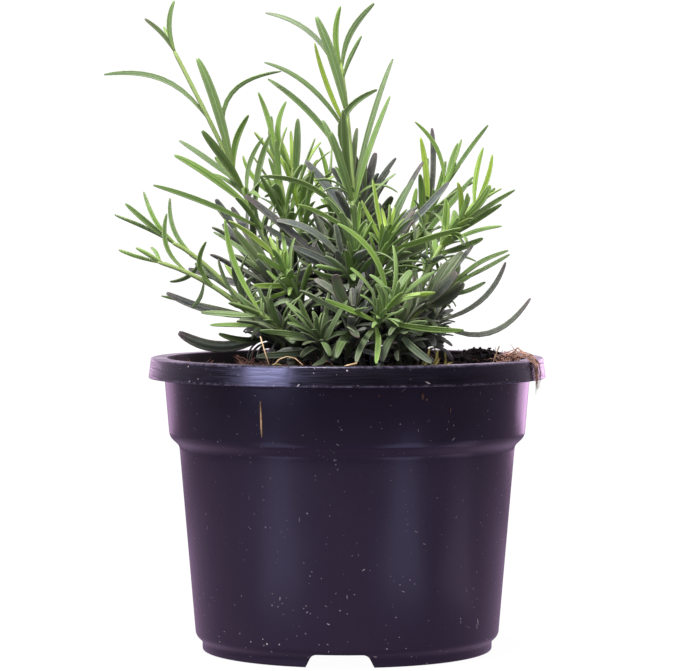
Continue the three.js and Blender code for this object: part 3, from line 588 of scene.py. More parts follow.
witheredBits = [  # yellowed stubs at the foot of the stems: root, bend and tip above the peat, radius
    ((26, -27), (28.5, -29, 4.5), (29, -30, 9), 0.6), ((28, -26), (31, -28, 3.5), (34, -28, 4.5), 0.5),
    ((24, -28), (25.5, -31, 3.5), (28.5, -33, 3), 0.55), ((29, -23), (29.5, -26, 6.5), (27.5, -28, 10), 0.45),
    ((30, -26), (32, -27, 5), (31, -29, 8), 0.5), ((-22, -24), (-25, -29, 3), (-29, -31, 2.5), 0.55),
    ((-17, -27), (-22, -32, 3.5), (-24, -34, 2.5), 0.5), ((24, -29), (25.5, -31, 5), (26.5, -32, 9.5), 0.55),
    ((25, -29), (27.5, -32, 2), (29.5, -32, 6), 0.5), ((23, -29), (23.5, -32, 3), (25, -33, 6.5), 0.55),
    ((27, -28), (28, -31, 3), (30.5, -32, 2), 0.6),
]
stuckOut, stuckShape = 0.18, (0.5, 1, 0.9, 0.3)  # how far the next bits stand off, and their taper
# bits that stick to the pot's upper band: angle from the front, low, high, half width
potStraws = [(-27.0, 73.2, 84.4, 0.34)]
potFlakes = [(23.2, 85.0, 87.4, 0.5), (24.6, 84.6, 85.6, 0.3), (33.0, 80.6, 82.2, 0.16),
             (9.5, 86.2, 87.0, 0.3)]


def hangingFibre(draw):
    # from the tuft over the rim and down outside it
    rule = coir
    angle = rule["rimAngle"] + draw.gauss(0, rule["rimSpread"])
    out = Vector((math.cos(angle), math.sin(angle), 0))
    aside = Vector((-out.y, out.x, 0))
    hang, bend = draw.uniform(*rule["hangTo"]), rule["bend"]
    points = [out * away + aside * draw.gauss(0, apart) + Vector((0, 0, draw.uniform(low, high)))
              for away, apart, low, high in rule["over"]]
    points.append(out * rule["bendOut"] + aside * draw.gauss(0, rule["bendApart"]) + Vector((0, 0, bend)))
    points.append(out * rule["downOut"] + aside * draw.gauss(0, rule["downApart"])
                  + Vector((0, 0, (hang + bend) / 2)))
    points.append(out * (rule["endOut"] + draw.uniform(0, rule["endMore"]))
                  + aside * draw.gauss(0, rule["endApart"]) + Vector((0, 0, hang)))
    return [p + Vector([draw.gauss(0, rule["jitter"]) for _ in range(3)]) for p in points]


def makeCoir(material):
    # a loose tangled tuft on the peat, a few of its fibres over the rim
    rule = coir
    draw = random.Random(5)
    bm = bmesh.new()
    for _ in range(rule["loose"]):
        x, y = draw.gauss(rule["x"], rule["spreadX"]), draw.gauss(rule["y"], rule["spreadY"])
        inward = min(1.0, rule["edge"] / math.hypot(x, y))
        start = Vector((x * inward, y * inward, 0))
        start.z = soilSurface(start.x, start.y) + draw.uniform(*rule["above"])
        heading = Vector((draw.uniform(*rule["headingX"]), draw.uniform(-1, 1),
                          draw.uniform(*rule["headingZ"])))
        fibreAt(bm, draw, start, heading.normalized(), draw.uniform(*rule["length"]), rule["droop"],
                rule["thickness"] * draw.uniform(*rule["looseThick"]), rule["curl"], 8)
    for _ in range(rule["hanging"]):
        points = hangingFibre(draw)
        radius = rule["thickness"] * draw.uniform(*rule["hangingThick"])
        threadThrough(bm, points, [radius] * (len(points) - 1) + [rule["endRadius"]], 3)
    finishPiece("coir_tuft", bm, material)


def addPotBits(bm, bits):
    slope = (pot["bandTop"] - pot["bandFoot"]) / (pot["skirtFoot"] - pot["bandFootZ"])
    steps = len(stuckShape) - 1
    for degrees, low, high, half in bits:
        angle = math.radians(degrees - 90)
        out = Vector((math.cos(angle), math.sin(angle), 0))
        heights = [low + (high - low) * i / steps for i in range(steps + 1)]
        points = [out * (pot["bandFoot"] + slope * (z - pot["bandFootZ"]) + stuckOut) + Vector((0, 0, z))
                  for z in heights]
        threadThrough(bm, points, [half * share for share in stuckShape], 5)


def makeStraws(material):
    bm = bmesh.new()
    for points, radius in straws:
        threadThrough(bm, [Vector(p) for p in points], [radius] * len(points), 5)
    addPotBits(bm, potStraws)
    finishPiece("straw_slivers", bm, material)


def makePotFlakes(material):
    bm = bmesh.new()
    addPotBits(bm, potFlakes)
    finishPiece("peat_flakes", bm, material)


def makeWitheredBits(material):
    bm = bmesh.new()
    for (x, y), bend, tip, radius in witheredBits:
        ground = soilSurface(x, y)
        points = [Vector((x, y, ground - 1))]
        points += [Vector((px, py, ground + above)) for px, py, above in (bend, tip)]
        threadThrough(bm, points, [radius * share for share in witheredShape], 6)
    finishPiece("withered_stubs", bm, material, (), 1)


def dryFibre(name, pale, dark, perMetre):
    made, tree, shader = newMaterial(name, {"Roughness": 0.75})
    base = mixColours(tree, mottle(tree, perMetre), dark, pale)
    connect(tree, shader, darkened(tree, base, mottle(tree, 2400.0, 0.7, 1.15)))
    return made


peatMaterial = peat()
makeSoil(peatMaterial)
makeCrumbs(peatMaterial)
brownFibre = dryFibre("peat fibre", "7d4b35", "2a1a14", 420.0)
makeFibres(brownFibre)
makePotFlakes(brownFibre)
makeCoir(dryFibre("coir fibre", "cb9a88", "301b17", 480.0))
makeStraws(dryFibre("straw", "e0c09a", "a57d58", 300.0))
makeWitheredBits(dryFibre("withered leaf", "a39a4e", "5c4a2c", 300.0))
print("root ball and fibres made")


plant = dict(
    reach=91.4, space=0.5, cell=5, rootRadius=1.25, topRadius=0.85, holeDepth=8, collar=1.5,
    pairStep=8, leafStep=1.6, stemStep=1.5, freeFrom=7,
)
# leaves that no aim places: the first pair's place, then how they open, reach and differ
leafRule = dict(
    first=0.35, swing=0.8, opening=0.3, openMore=0.14, openMost=1.05, openSwing=0.3,
    full=0.55, fullMore=0.17, length=0.8, lengthMore=0.35, archLow=0.7, archHigh=1.25,
    roll=0.9, width=1.8, widthMore=0.9, oldWider=0.5,
)

# each stem: where it leaves the peat, what pulls its curve, its growing point,
# how many leaf pairs follow and their full length; aims are leaves that make the
# outline: share of the stem, tip, how far the middle bows to the left, full width
leafyStems = [
    dict(name="tall_left", tone="young", root=(-9, 3), bend=(-28, 0, 141), top=(-56, -3, 195),
         pairs=0, leaf=28, aims=[
             (1, -56, -6, 212, 2, 1.9), (1, -66, -4, 206, -1, 1.7), (1, -60, 1, 204, 0, 1.3),
             (0.79, -80, -3, 188, -7, 1.9), (0.7, -21, -8, 188, 10, 1.8), (0.65, -48, -12, 193, -1, 3.4),
             (0.64, -32, -8, 175, 2, 2.4), (0.58, -47, -13, 169, -1, 3), (0.6, -55, 3, 167, 0, 2),
             (0.52, -56, -8, 162, -1, 2.7), (0.46, -63, -12, 152, -1, 2), (0.55, -28, 2, 168, 2, 1.7),
             (0.49, -25, 4, 169, 2, 2.3),
         ]),
    dict(name="tall_centre", tone="young", root=(2, -4), bend=(4, -7, 151), top=(-2, -8, 191),
         pairs=0, leaf=30, aims=[
             (0.98, -2, -9, 210, 2, 2.2), (0.98, 9, -6, 211, 3, 2.2), (0.94, 5, -12, 200, 1, 1.5),
             (0.8, -10, -14, 206, -1, 3.3), (0.89, -27, -4, 209, -6, 1.8), (0.74, -11, -16, 198, 1, 1.9),
             (0.72, -27, -10, 192, -4, 1.8), (0.6, -26, -7, 187, -3, 2.2), (0.62, 10, -10, 183, 8, 2.4),
             (0.57, 3, -2, 171, 0, 2), (0.56, -8, -12, 173, 0, 2.5), (0.5, -5, -20, 169, 0, 2.8),
             (0.53, -1, -18, 176, 1, 2.6), (0.52, 15, 2, 194, 1, 2), (0.48, 14, -12, 181, 1, 2.1),
         ]),
    dict(name="dark_centre", tone="old", root=(7, 5), bend=(2, 3, 127), top=(6, 3, 146),
         pairs=4, leaf=26, aims=[
             (0.93, 2, 0, 162, 0, 3), (0.96, 5, 4, 163, 0, 2.5), (0.93, 9, 3, 163, 0, 2.7),
             (0.82, -5, -2, 158, -1, 2.9), (0.76, -14, 5, 160, -1, 3), (0.9, 16, 8, 161, 1, 1.8),
             (0.85, 14, 10, 157, 1, 1.8),
         ]),
    dict(name="left_upright", tone="young", root=(-13, 8), bend=(-18, 8, 133), top=(-23, 9, 159),
         pairs=4, leaf=26, aims=[
             (1, -29, 7, 183, -1, 2.1), (1, -25, 12, 175, 1, 2.2), (0.78, -35, 14, 162, 2, 1.9),
         ]),
    dict(name="left_inner", tone="young", root=(-6, 11), bend=(-14, 12, 132), top=(-18, 13, 157),
         pairs=4, leaf=26, aims=[
             (1, -20, 14, 180, 4, 2.1), (0.9, -16, 8, 174, 0, 2.7), (0.85, -9, 18, 167, 1, 1.6),
             (0.92, -22, 18, 168, 0, 1.6),
         ]),
    dict(name="long_left_upper", tone="young", root=(-16, -4), bend=(-43, -8, 127), top=(-56, -9, 133),
         pairs=0, leaf=22, aims=[
             (1, -72, -11, 146, 0, 2.1), (1, -76, -7, 142, -1, 1.5), (0.95, -66, -5, 150, 2, 1.8),
             (0.78, -57, -10, 148, 3, 2), (0.72, -58, 0, 121, 2, 1.8), (0.6, -52, 2, 129, -1, 1.7),
         ]),
    dict(name="long_left_lower", tone="young", root=(-15, -12), bend=(-36, -17, 120), top=(-60, -19, 127),
         pairs=0, leaf=22, aims=[
             (1, -74, -14, 131, 0, 1.5), (0.95, -68, -19, 132, 0, 1.9), (1, -63, -15, 132, 0, 1.5),
             (0.82, -58, -16, 143, 4, 1.8), (0.63, -45, -24, 134, 4, 1.9), (0.7, -50, -12, 112, 1, 1.7),
         ]),
    dict(name="left_front", tone="young", root=(-13, -17), bend=(-18, -21, 105), top=(-28, -25, 111),
         pairs=3, leaf=24, aims=[
             (0.98, -40, -22, 141, 2, 2.3), (0.9, -47, -22, 111, 0, 2.1), (0.7, -44, -27, 107, 0, 1.9),
         ]),
    dict(name="left_olive", tone="old", root=(-13, -1), bend=(-16, -5, 113), top=(-23, -8, 120),
         pairs=3, leaf=30, aims=[
             (0.9, -37, -14, 138, 0, 3.1), (0.95, -32, -7, 136, 0, 2.6), (0.8, -52, -4, 125, 1, 2.3),
             (1, -38, 2, 145, 0, 2.5), (0.75, -44, -2, 137, -2, 1.8),
         ]),
    dict(name="left_grey", tone="old", root=(-4, -7), bend=(-1, -12, 111), top=(-1, -14, 127),
         pairs=3, leaf=30, aims=[
             (1, -23, -17, 141, -3, 2.4), (0.85, -33, -20, 149, 0, 2.6), (0.8, -27, -14, 139, 0, 2.6),
             (0.9, -18, -22, 132, -1, 2.3),
         ]),
    dict(name="low_left", tone="old", root=(-18, 2), bend=(-21, -2, 102), top=(-28, -2, 109),
         pairs=2, leaf=26, aims=[
             (1, -59, -6, 117, 2, 2.7), (0.95, -61, 2, 116, 0, 1.6), (0.7, -55, -9, 104, 5, 4),
             (0.6, -42, -14, 104, 2, 2.3),
         ]),
    dict(name="front_left", tone="young", root=(-9, -21), bend=(-7, -27, 98), top=(-9, -29, 104),
         pairs=1, leaf=18, aims=[
             (0.95, -28, -32, 106, 0, 2.1), (1, -19, -30, 111, 1, 2.1), (1, -15, -34, 116, 1, 1.9),
             (0.7, -11, -39, 95, 3, 2.2), (0.6, -29, -31, 97, 0, 2.4),
         ]),
    dict(name="lime_left", tone="young", root=(-10, -10), bend=(-14, -15, 113), top=(-21, -18, 127),
         pairs=3, leaf=24, aims=[
             (1, -38, -22, 141, -1, 2), (0.9, -29, -26, 130, 0, 2.1), (0.75, -30, -28, 120, 0, 2.1),
             (0.85, -20, -25, 123, -2, 2.6), (0.7, -32, -20, 112, -1, 1.8),
         ]),
    dict(name="front_purple", tone="old", root=(0, -20), bend=(0, -26, 104), top=(2, -30, 113),
         pairs=2, leaf=20, aims=[
             (0.95, -4, -36, 124, 1, 3.8), (0.8, -15, -28, 119, 0, 1.9), (0.6, -5, -37, 96, -1, 2.2),
             (0.7, 3, -43, 103, 0, 3),
         ]),
    dict(name="front_centre", tone="young", root=(1, -12), bend=(1, -17, 117), top=(3, -20, 136),
         pairs=4, leaf=24, aims=[
             (1, -28, -26, 155, -6, 2.1), (1, -16, -22, 146, -1, 1.8), (0.95, -7, -26, 148, -1, 2.4),
             (0.85, -2, -31, 144, 0, 2.9), (0.7, -11, -28, 125, 2, 1.8), (0.75, 0, -27, 134, 0, 1.9),
             (0.8, 6, -35, 132, 0, 3.6),
         ]),
    dict(name="centre_green", tone="young", root=(10, -10), bend=(6, -14, 116), top=(13, -18, 136),
         pairs=3, leaf=24, aims=[
             (0.9, 4, -22, 147, 0, 2.1), (0.9, 8, -12, 154, 0, 1.9), (0.85, 37, -22, 139, 0, 2.5),
             (1, 15, -14, 145, 0, 1.8), (1, 11, -10, 144, 0, 1.8),
         ]),
    dict(name="front_right", tone="young", root=(9, -22), bend=(5, -28, 109), top=(18, -36, 117),
         pairs=2, leaf=18, aims=[
             (0.6, 37, -36, 106, -1, 2.4), (0.55, -7, -38, 116, 0, 2.1), (1, 28, -38, 118, 0, 2),
             (0.5, 3, -44, 96, -1, 2.4), (0.5, 9, -48, 96, 1, 2.2), (0.75, -3, -40, 140, -5, 2.2),
         ]),
    dict(name="right_front", tone="old", root=(17, -20), bend=(15, -24, 102), top=(17, -28, 108),
         pairs=1, leaf=20, aims=[
             (0.8, 11, -39, 96, -1, 2.7), (0.8, 27, -38, 96, -1, 2.7), (0.9, 26, -33, 108, 0, 2),
             (1, 14, -32, 119, 0, 1.9),
         ]),
    dict(name="right_bright", tone="young", root=(17, -7), bend=(21, -10, 126), top=(41, -15, 145),
         pairs=3, leaf=22, aims=[
             (0.9, 46, -19, 152, -1, 2.9), (0.88, 35, -20, 153, -1, 2.1), (1, 44, -8, 164, 1, 1.9),
             (1, 47, -13, 162, -1, 1.8), (0.8, 54, -15, 151, 0, 1.9), (0.75, 50, -11, 146, 0, 2.1),
             (0.7, 50, -18, 139, 1, 1.5), (0.65, 44, -10, 135, -1, 2.3), (0.6, 25, -20, 128, 0, 1.6),
         ]),
    dict(name="right_grey", tone="old", root=(10, -3), bend=(8, -6, 117), top=(12, -8, 133),
         pairs=3, leaf=30, aims=[
             (1, 33, -11, 153, -1, 2.4), (0.85, 21, -15, 154, 1, 2.7), (0.9, 25, -2, 160, 1, 1.8),
             (0.8, 35, 4, 138, -1, 3.2),
         ]),
    dict(name="right_light", tone="young", root=(16, 3), bend=(16, 3, 126), top=(32, 2, 152),
         pairs=3, leaf=24, aims=[
             (0.8, 24, -3, 168, -1, 2.4), (1, 22, 0, 173, -3, 1.6), (0.82, 28, 5, 171, -1, 1.9),
             (1, 36, 2, 166, 0, 1.6), (0.95, 38, 7, 167, 0, 1.5), (1, 46, 0, 172, 0, 1.6),
             (0.63, 41, -5, 155, 0, 2.1), (0.8, 27, 9, 161, 1, 1.8),
         ]),
    dict(name="right_brown", tone="old", root=(20, -12), bend=(18, -19, 107), top=(24, -22, 113),
         pairs=2, leaf=24, aims=[
             (0.95, 35, -28, 124, 0, 4.4), (1, 37, -24, 121, -2, 4), (0.9, 37, -19, 131, 0, 3.2),
             (0.9, 32, -25, 128, 0, 2.3), (0.85, 41, -13, 133, 0, 1.9),
         ]),
    dict(name="right_low", tone="young", root=(24, 3), bend=(21, 5, 105), top=(35, 8, 120),
         pairs=3, leaf=20, aims=[
             (1, 53, 5, 131, 1, 1.7), (0.95, 54, 11, 129, 0, 1.6), (1, 45, 13, 127, 0, 1.6),
             (0.9, 45, 3, 125, 0, 1.7), (0.85, 46, 9, 120, -1, 1.7),
         ]),
    dict(name="right_dark", tone="old", root=(25, -7), bend=(23, -10, 101), top=(27, -11, 108),
         pairs=2, leaf=22, aims=[
             (1, 59, -14, 116, -9, 2.1), (0.95, 52, -8, 127, -5, 1.9),
         ]),
    dict(name="back_left", tone="old", root=(-19, 13), bend=(-24, 18, 118), top=(-38, 22, 138),
         pairs=5, leaf=27, aims=[]),
    dict(name="back_low_left", tone="young", root=(-14, 19), bend=(-20, 28, 106), top=(-36, 38, 118),
         pairs=4, leaf=24, aims=[]),
    dict(name="back_centre", tone="young", root=(-3, 19), bend=(-4, 24, 126), top=(-6, 29, 152),
         pairs=5, leaf=26, aims=[]),
    dict(name="back_low", tone="old", root=(-5, 26), bend=(-7, 36, 104), top=(-9, 45, 116),
         pairs=3, leaf=26, aims=[]),
    dict(name="back_upright", tone="old", root=(3, 12), bend=(7, 16, 124), top=(9, 18, 144),
         pairs=4, leaf=28, aims=[]),
    dict(name="back_right", tone="young", root=(8, 20), bend=(14, 27, 118), top=(21, 34, 139),
         pairs=5, leaf=26, aims=[]),
    dict(name="back_low_right", tone="old", root=(16, 15), bend=(22, 22, 106), top=(34, 28, 117),
         pairs=3, leaf=26, aims=[]),
    dict(name="back_inner", tone="old", root=(-1, 4), bend=(-4, 5, 116), top=(-6, 4, 134),
         pairs=2, leaf=26, aims=[]),
]


def add(a, b, k=1.0):
    return (a[0] + k * b[0], a[1] + k * b[1], a[2] + k * b[2])


def scaled(a, k):
    return (a[0] * k, a[1] * k, a[2] * k)


def dot3(a, b):
    return a[0] * b[0] + a[1] * b[1] + a[2] * b[2]


def unit(a):
    return scaled(a, 1 / math.hypot(*a))


def cross(a, b):
    return (a[1] * b[2] - a[2] * b[1], a[2] * b[0] - a[0] * b[2], a[0] * b[1] - a[1] * b[0])


def curveAt(curve, u):
    a, b, c = curve
    v = 1 - u
    return tuple(v * v * a[i] + 2 * u * v * b[i] + u * u * c[i] for i in range(3))


def directionAt(curve, u):
    a, b, c = curve
    return unit(tuple((1 - u) * (b[i] - a[i]) + u * (c[i] - b[i]) for i in range(3)))


def curveLength(curve):
    return sum(math.hypot(*add(curveAt(curve, (i + 1) / 12), curveAt(curve, i / 12), -1))
               for i in range(12))


def randomFrom(seed):
    # the part's own seeded draws
    state = (seed * 2654435761) & 0xFFFFFFFF

    def draw():
        nonlocal state
        state = (state * 1664525 + 1013904223) & 0xFFFFFFFF
        return state / 4294967296
    return draw


def stemCurve(stem):
    x, y = stem["root"]
    return ((x, y, soilHeight(x, y) + plant["collar"]), stem["bend"], stem["top"])


def stemRadius(u):
    return plant["rootRadius"] + (plant["topRadius"] - plant["rootRadius"]) * u


def bladeShare(s):
    # the half width along a blade, as a share of its widest
    if s > 0.7:
        return math.sqrt(max(0.0, 1 - ((s - 0.7) / 0.32) ** 2))
    return 0.38 + 0.62 * math.sin((math.pi / 2) * (s / 0.7))


def bladeFrame(leaf, s, roll=None):
    along = directionAt(leaf["curve"], s)
    flat = unit(add(leaf["across"], along, -dot3(leaf["across"], along)))
    over = cross(flat, along)
    turn = leaf["roll"] if roll is None else roll
    side = add(scaled(flat, math.cos(turn)), over, math.sin(turn))
    return curveAt(leaf["curve"], s), side, cross(side, along)


def bladeBalls(leaf, owner, least=0.7):
    length = curveLength(leaf["curve"])
    count = math.ceil(length / plant["leafStep"])
    balls = []
    for i in range(count + 1):
        s = i / count
        centre, side, _ = bladeFrame(leaf, s)
        half = (leaf["width"] / 2) * bladeShare(s)
        for spot in ((-0.55, 0, 0.55) if half > 0.9 else (0,)):
            radius = max(least, half / 2 if half > 0.9 else half)
            balls.append((add(centre, side, spot * half), radius, owner, s * length > plant["freeFrom"]))
    return balls


def stemBalls(stem, owner):
    curve = stemCurve(stem)
    count = math.ceil(curveLength(curve) / plant["stemStep"])
    return [(curveAt(curve, i / count), stemRadius(i / count) + 0.1, owner, True)
            for i in range(count + 1)]


filled = {}


def cellOf(at):
    return tuple(math.floor(v / plant["cell"]) for v in at)


def keep(balls):
    for ball in balls:
        filled.setdefault(cellOf(ball[0]), []).append(ball)


def meets(ball, space, ownSpace):
    at, radius, owner, free = ball
    i, j, k = cellOf(at)
    for cell in range(27):
        near = (i + cell % 3 - 1, j + cell // 3 % 3 - 1, k + cell // 9 - 1)
        for other, otherRadius, otherOwner, otherFree in filled.get(near, ()):
            same = otherOwner == owner
            if same and not (free and otherFree):
                continue
            apart = math.hypot(at[0] - other[0], at[1] - other[1], at[2] - other[2])
            if apart < radius + otherRadius + (ownSpace if same else space):
                return True
    return False


def inBounds(ball):
    (x, y, z), radius = ball[0], ball[1]
    if abs(x) + abs(y) + 1.42 * radius > plant["reach"]:
        return False
    if math.hypot(x, y) + radius > pot["bandTop"] - pot["wall"] - 1 and z - radius < pot["height"] + 1:
        return False
    return z - radius > soilHeight(x, y) + plant["space"]


def tryLeaf(leaf, owner, grown, space=0.5, ownSpace=0.1, least=0.7):
    balls = bladeBalls(leaf, owner, least)
    for ball in balls:
        if ball[3] and not inBounds(ball) or meets(ball, space, ownSpace):
            return False
    keep(balls)
    grown[owner].append(leaf)
    return True


def aimedLeaf(curve, aim, shift, draw):
    share, x, y, z, bow, width = aim
    start = curveAt(curve, share)
    tip = (x, y + shift, z)
    chord = add(tip, start, -1)
    left = unit((-chord[2], 0, chord[0]))
    middle = add(add(start, scaled(chord, 0.5)), left, 2 * bow)
    middle = (middle[0], middle[1] + shift * 0.3, middle[2])
    return dict(curve=(start, middle, tip), across=left, roll=(draw() - 0.5) * 1.3,
                width=max(width, 1.6), share=share)


def ruledLeaf(curve, stem, pair, turn, draw):
    rule = leafRule
    share = 1 - ((pair + rule["first"]) * plant["pairStep"]) / curveLength(curve)
    along = directionAt(curve, share)
    a = unit(cross((0, 1, 0), along))
    angle = turn + (draw() - 0.5) * rule["swing"]
    out = add(scaled(a, math.cos(angle)), cross(along, a), math.sin(angle))
    openTo = min(rule["opening"] + rule["openMore"] * pair, rule["openMost"])
    openTo += (draw() - 0.5) * rule["openSwing"]
    full = min(rule["full"] + rule["fullMore"] * pair, 1)
    length = stem["leaf"] * full * (rule["length"] + rule["lengthMore"] * draw())
    first, last = openTo * rule["archLow"], openTo * rule["archHigh"]
    low = add(scaled(along, math.cos(first)), out, math.sin(first))
    high = add(scaled(along, math.cos(last)), out, math.sin(last))
    start = curveAt(curve, share)
    middle = add(start, low, length / 2)
    roll = (draw() - 0.5) * rule["roll"]
    width = rule["width"] + rule["widthMore"] * draw() * full
    if stem["tone"] == "old":
        width += rule["oldWider"]
    return dict(curve=(start, middle, add(middle, high, length / 2)),
                across=cross(along, out), roll=roll, width=width, share=share)


def growLeaves():
    # the same leaves as in the part, in the same order
    grown = [[] for _ in leafyStems]
    for i, stem in enumerate(leafyStems):
        keep(stemBalls(stem, i))
    for i, stem in enumerate(leafyStems):
        for j, aim in enumerate(stem["aims"]):
            for shift in (0, 3, -3, 6, -6, 9, -9, 12, -12):
                leaf = aimedLeaf(stemCurve(stem), aim, shift, randomFrom(1 + i * 97 + j))
                leaf["aim"] = j
                if tryLeaf(leaf, i, grown):
                    break
    for pair in range(max(stem["pairs"] for stem in leafyStems)):
        for i, stem in enumerate(leafyStems):
            if pair >= stem["pairs"]:
                continue
            for side in range(2):
                draw = randomFrom(5000 + i * 97 + pair * 7 + side)
                turn = i + (pair * math.pi) / 2 + side * math.pi
                for attempt in range(8):
                    swing = turn + (0.3 if attempt % 2 else -0.3) * attempt
                    if tryLeaf(ruledLeaf(stemCurve(stem), stem, pair, swing, draw), i, grown):
                        break
    return grown


# small leaves that the part leaves out: in the axils, and round the foot of each stem
smallLeaves = dict(
    axil=(5, 12), foot=(11, 25), perStem=34, tries=7, width=(1.7, 3.3), space=-0.15, crown=37,
    openAxil=(0.25, 0.8), openFoot=(0.35, 1.5), openLow=(0.9, 1.9), lowShare=0.25,
    arch=0.55, roll=0.4, ownSpace=-0.3, least=0.45, along=(0.02, 0.78), lowOdds=0.5,
    reachX=36, reachY=42, reachBelow=126, highest=148,
    # low down at the front left the peat shows
    bareBelow=101, bareY=-27, bareX=9,
)


def smallLeaf(curve, share, lengths, opening, draw):
    # a small arched leaf in a random direction, or none where the photo shows bare peat
    rule = smallLeaves
    along = directionAt(curve, share)
    a = unit(cross((0, 1, 0), along))
    angle = draw.uniform(0, math.tau)
    out = add(scaled(a, math.cos(angle)), cross(along, a), math.sin(angle))
    openTo = draw.uniform(*opening)
    length = draw.uniform(*lengths)
    first, last = openTo * (1 - rule["arch"]), openTo * (1 + rule["arch"])
    low = add(scaled(along, math.cos(first)), out, math.sin(first))
    high = add(scaled(along, math.cos(last)), out, math.sin(last))
    start = curveAt(curve, share)
    middle = add(start, low, length / 2)
    tip = add(middle, high, length / 2)
    if tip[2] < rule["reachBelow"] and math.hypot(tip[0] / rule["reachX"], tip[1] / rule["reachY"]) > 1:
        return None
    if tip[0] < rule["bareX"] and tip[1] < rule["bareY"] and tip[2] < rule["bareBelow"]:
        return None
    return dict(curve=(start, middle, tip), across=cross(along, out), share=share, inner=True,
                roll=draw.uniform(-rule["roll"], rule["roll"]), width=draw.uniform(*rule["width"]))


def growSmallLeaves(grown):
    rule = smallLeaves
    added = [[] for _ in leafyStems]
    for i, stem in enumerate(leafyStems):
        curve = stemCurve(stem)
        draw = random.Random(900 + i)
        shares = [leaf["share"] for leaf in grown[i] if leaf["share"] < 0.97]
        jobs = [(share - 0.01, rule["axil"], rule["openAxil"]) for share in shares]
        for _ in range(rule["perStem"]):
            share = draw.uniform(*rule["along"])
            low = share < rule["lowShare"] and draw.random() < rule["lowOdds"]
            jobs.append((share, rule["foot"], rule["openLow"] if low else rule["openFoot"]))
        for share, lengths, opening in jobs:
            x, y, z = curveAt(curve, share)
            if math.hypot(x, y) >= rule["crown"] or z >= rule["highest"]:
                continue
            for _ in range(rule["tries"]):
                leaf = smallLeaf(curve, share, lengths, opening, draw)
                if leaf and tryLeaf(leaf, i, added, rule["space"], rule["ownSpace"], rule["least"]):
                    break
    return added


# little curled leaves and buds of the photo: stem, share of it, bend and tip from there, width, tint
sprouts = [
    ("front_right", 0.72, (3, -4, 2), (1.5, -5, 4.5), 1.8, "sage"),
    ("front_right", 0.66, (5, -4, -1), (6.5, -4.5, 2.5), 1.7, "sage"),
    ("front_right", 0.55, (4, -5, 2), (7, -6, 0), 1.8, "sage"),
    ("front_right", 0.9, (-2, -3, 3), (-4, -3, 4.5), 1.6, "sage"),
    ("right_bright", 0.57, (-1, -5, 2), (-3, -6.5, 3.5), 2.6, "paleBud"),
    ("right_bright", 0.58, (2, -5, 1.5), (4, -6.5, 2.5), 2.4, "paleBud"),
    ("front_centre", 0.7, (-6, -6, 0), (-12, -8, 2), 2.2, "sage"),
    ("front_centre", 0.6, (-3, -6, 6), (-9, -9, 9), 2.2, "greyGreen"),
    ("front_purple", 0.6, (-1, -6, 2), (2, -10, -1), 3.4, "paleBud"),
    ("front_purple", 0.7, (0, -6, 5), (6, -9, 5), 2.8, "sage"),
    ("front_purple", 0.4, (-2, -9, 3), (-4, -14, -4), 2.8, "sage"),
    ("front_left", 0.7, (1, -8, 3), (2.5, -11, -3), 3.0, "sage"),
    ("front_left", 0.5, (-3, -7, 4), (-7, -11, -1), 2.4, "greyGreen"),
    ("right_front", 0.8, (5, -6, 3), (9, -9, 3), 2.4, "sage"),
]

# a tint is lightness, age, how purple the tip is, and how much of its full light it keeps
tints = dict(
    lime=(0.1, 0.04, 0.0, 1.0), green=(0.4, 0.24, 0.0, 0.97), deepGreen=(0.1, 0.42, 0.05, 0.88),
    sage=(1.25, 0.34, 0.0, 0.95), olive=(0.1, 0.56, 0.25, 0.85), greyGreen=(1.1, 0.56, 0.2, 0.85),
    dustyGreen=(0.9, 0.44, 0.0, 0.76), dimGreen=(0.3, 0.74, 0.9, 0.6),
    greyPink=(1.1, 0.72, 1.1, 0.85),
    lavenderGrey=(1.25, 0.83, 0.45, 0.97), darkGrey=(0.3, 0.88, 0.9, 0.75), purple=(0.4, 0.97, 0.9, 0.75),
    nearBlack=(0.0, 0.62, 0.3, 0.36), pinkTip=(0.7, 0.62, 1.1, 0.82),
    paleBud=(2.6, 0.7, 0.3, 1.1),
)
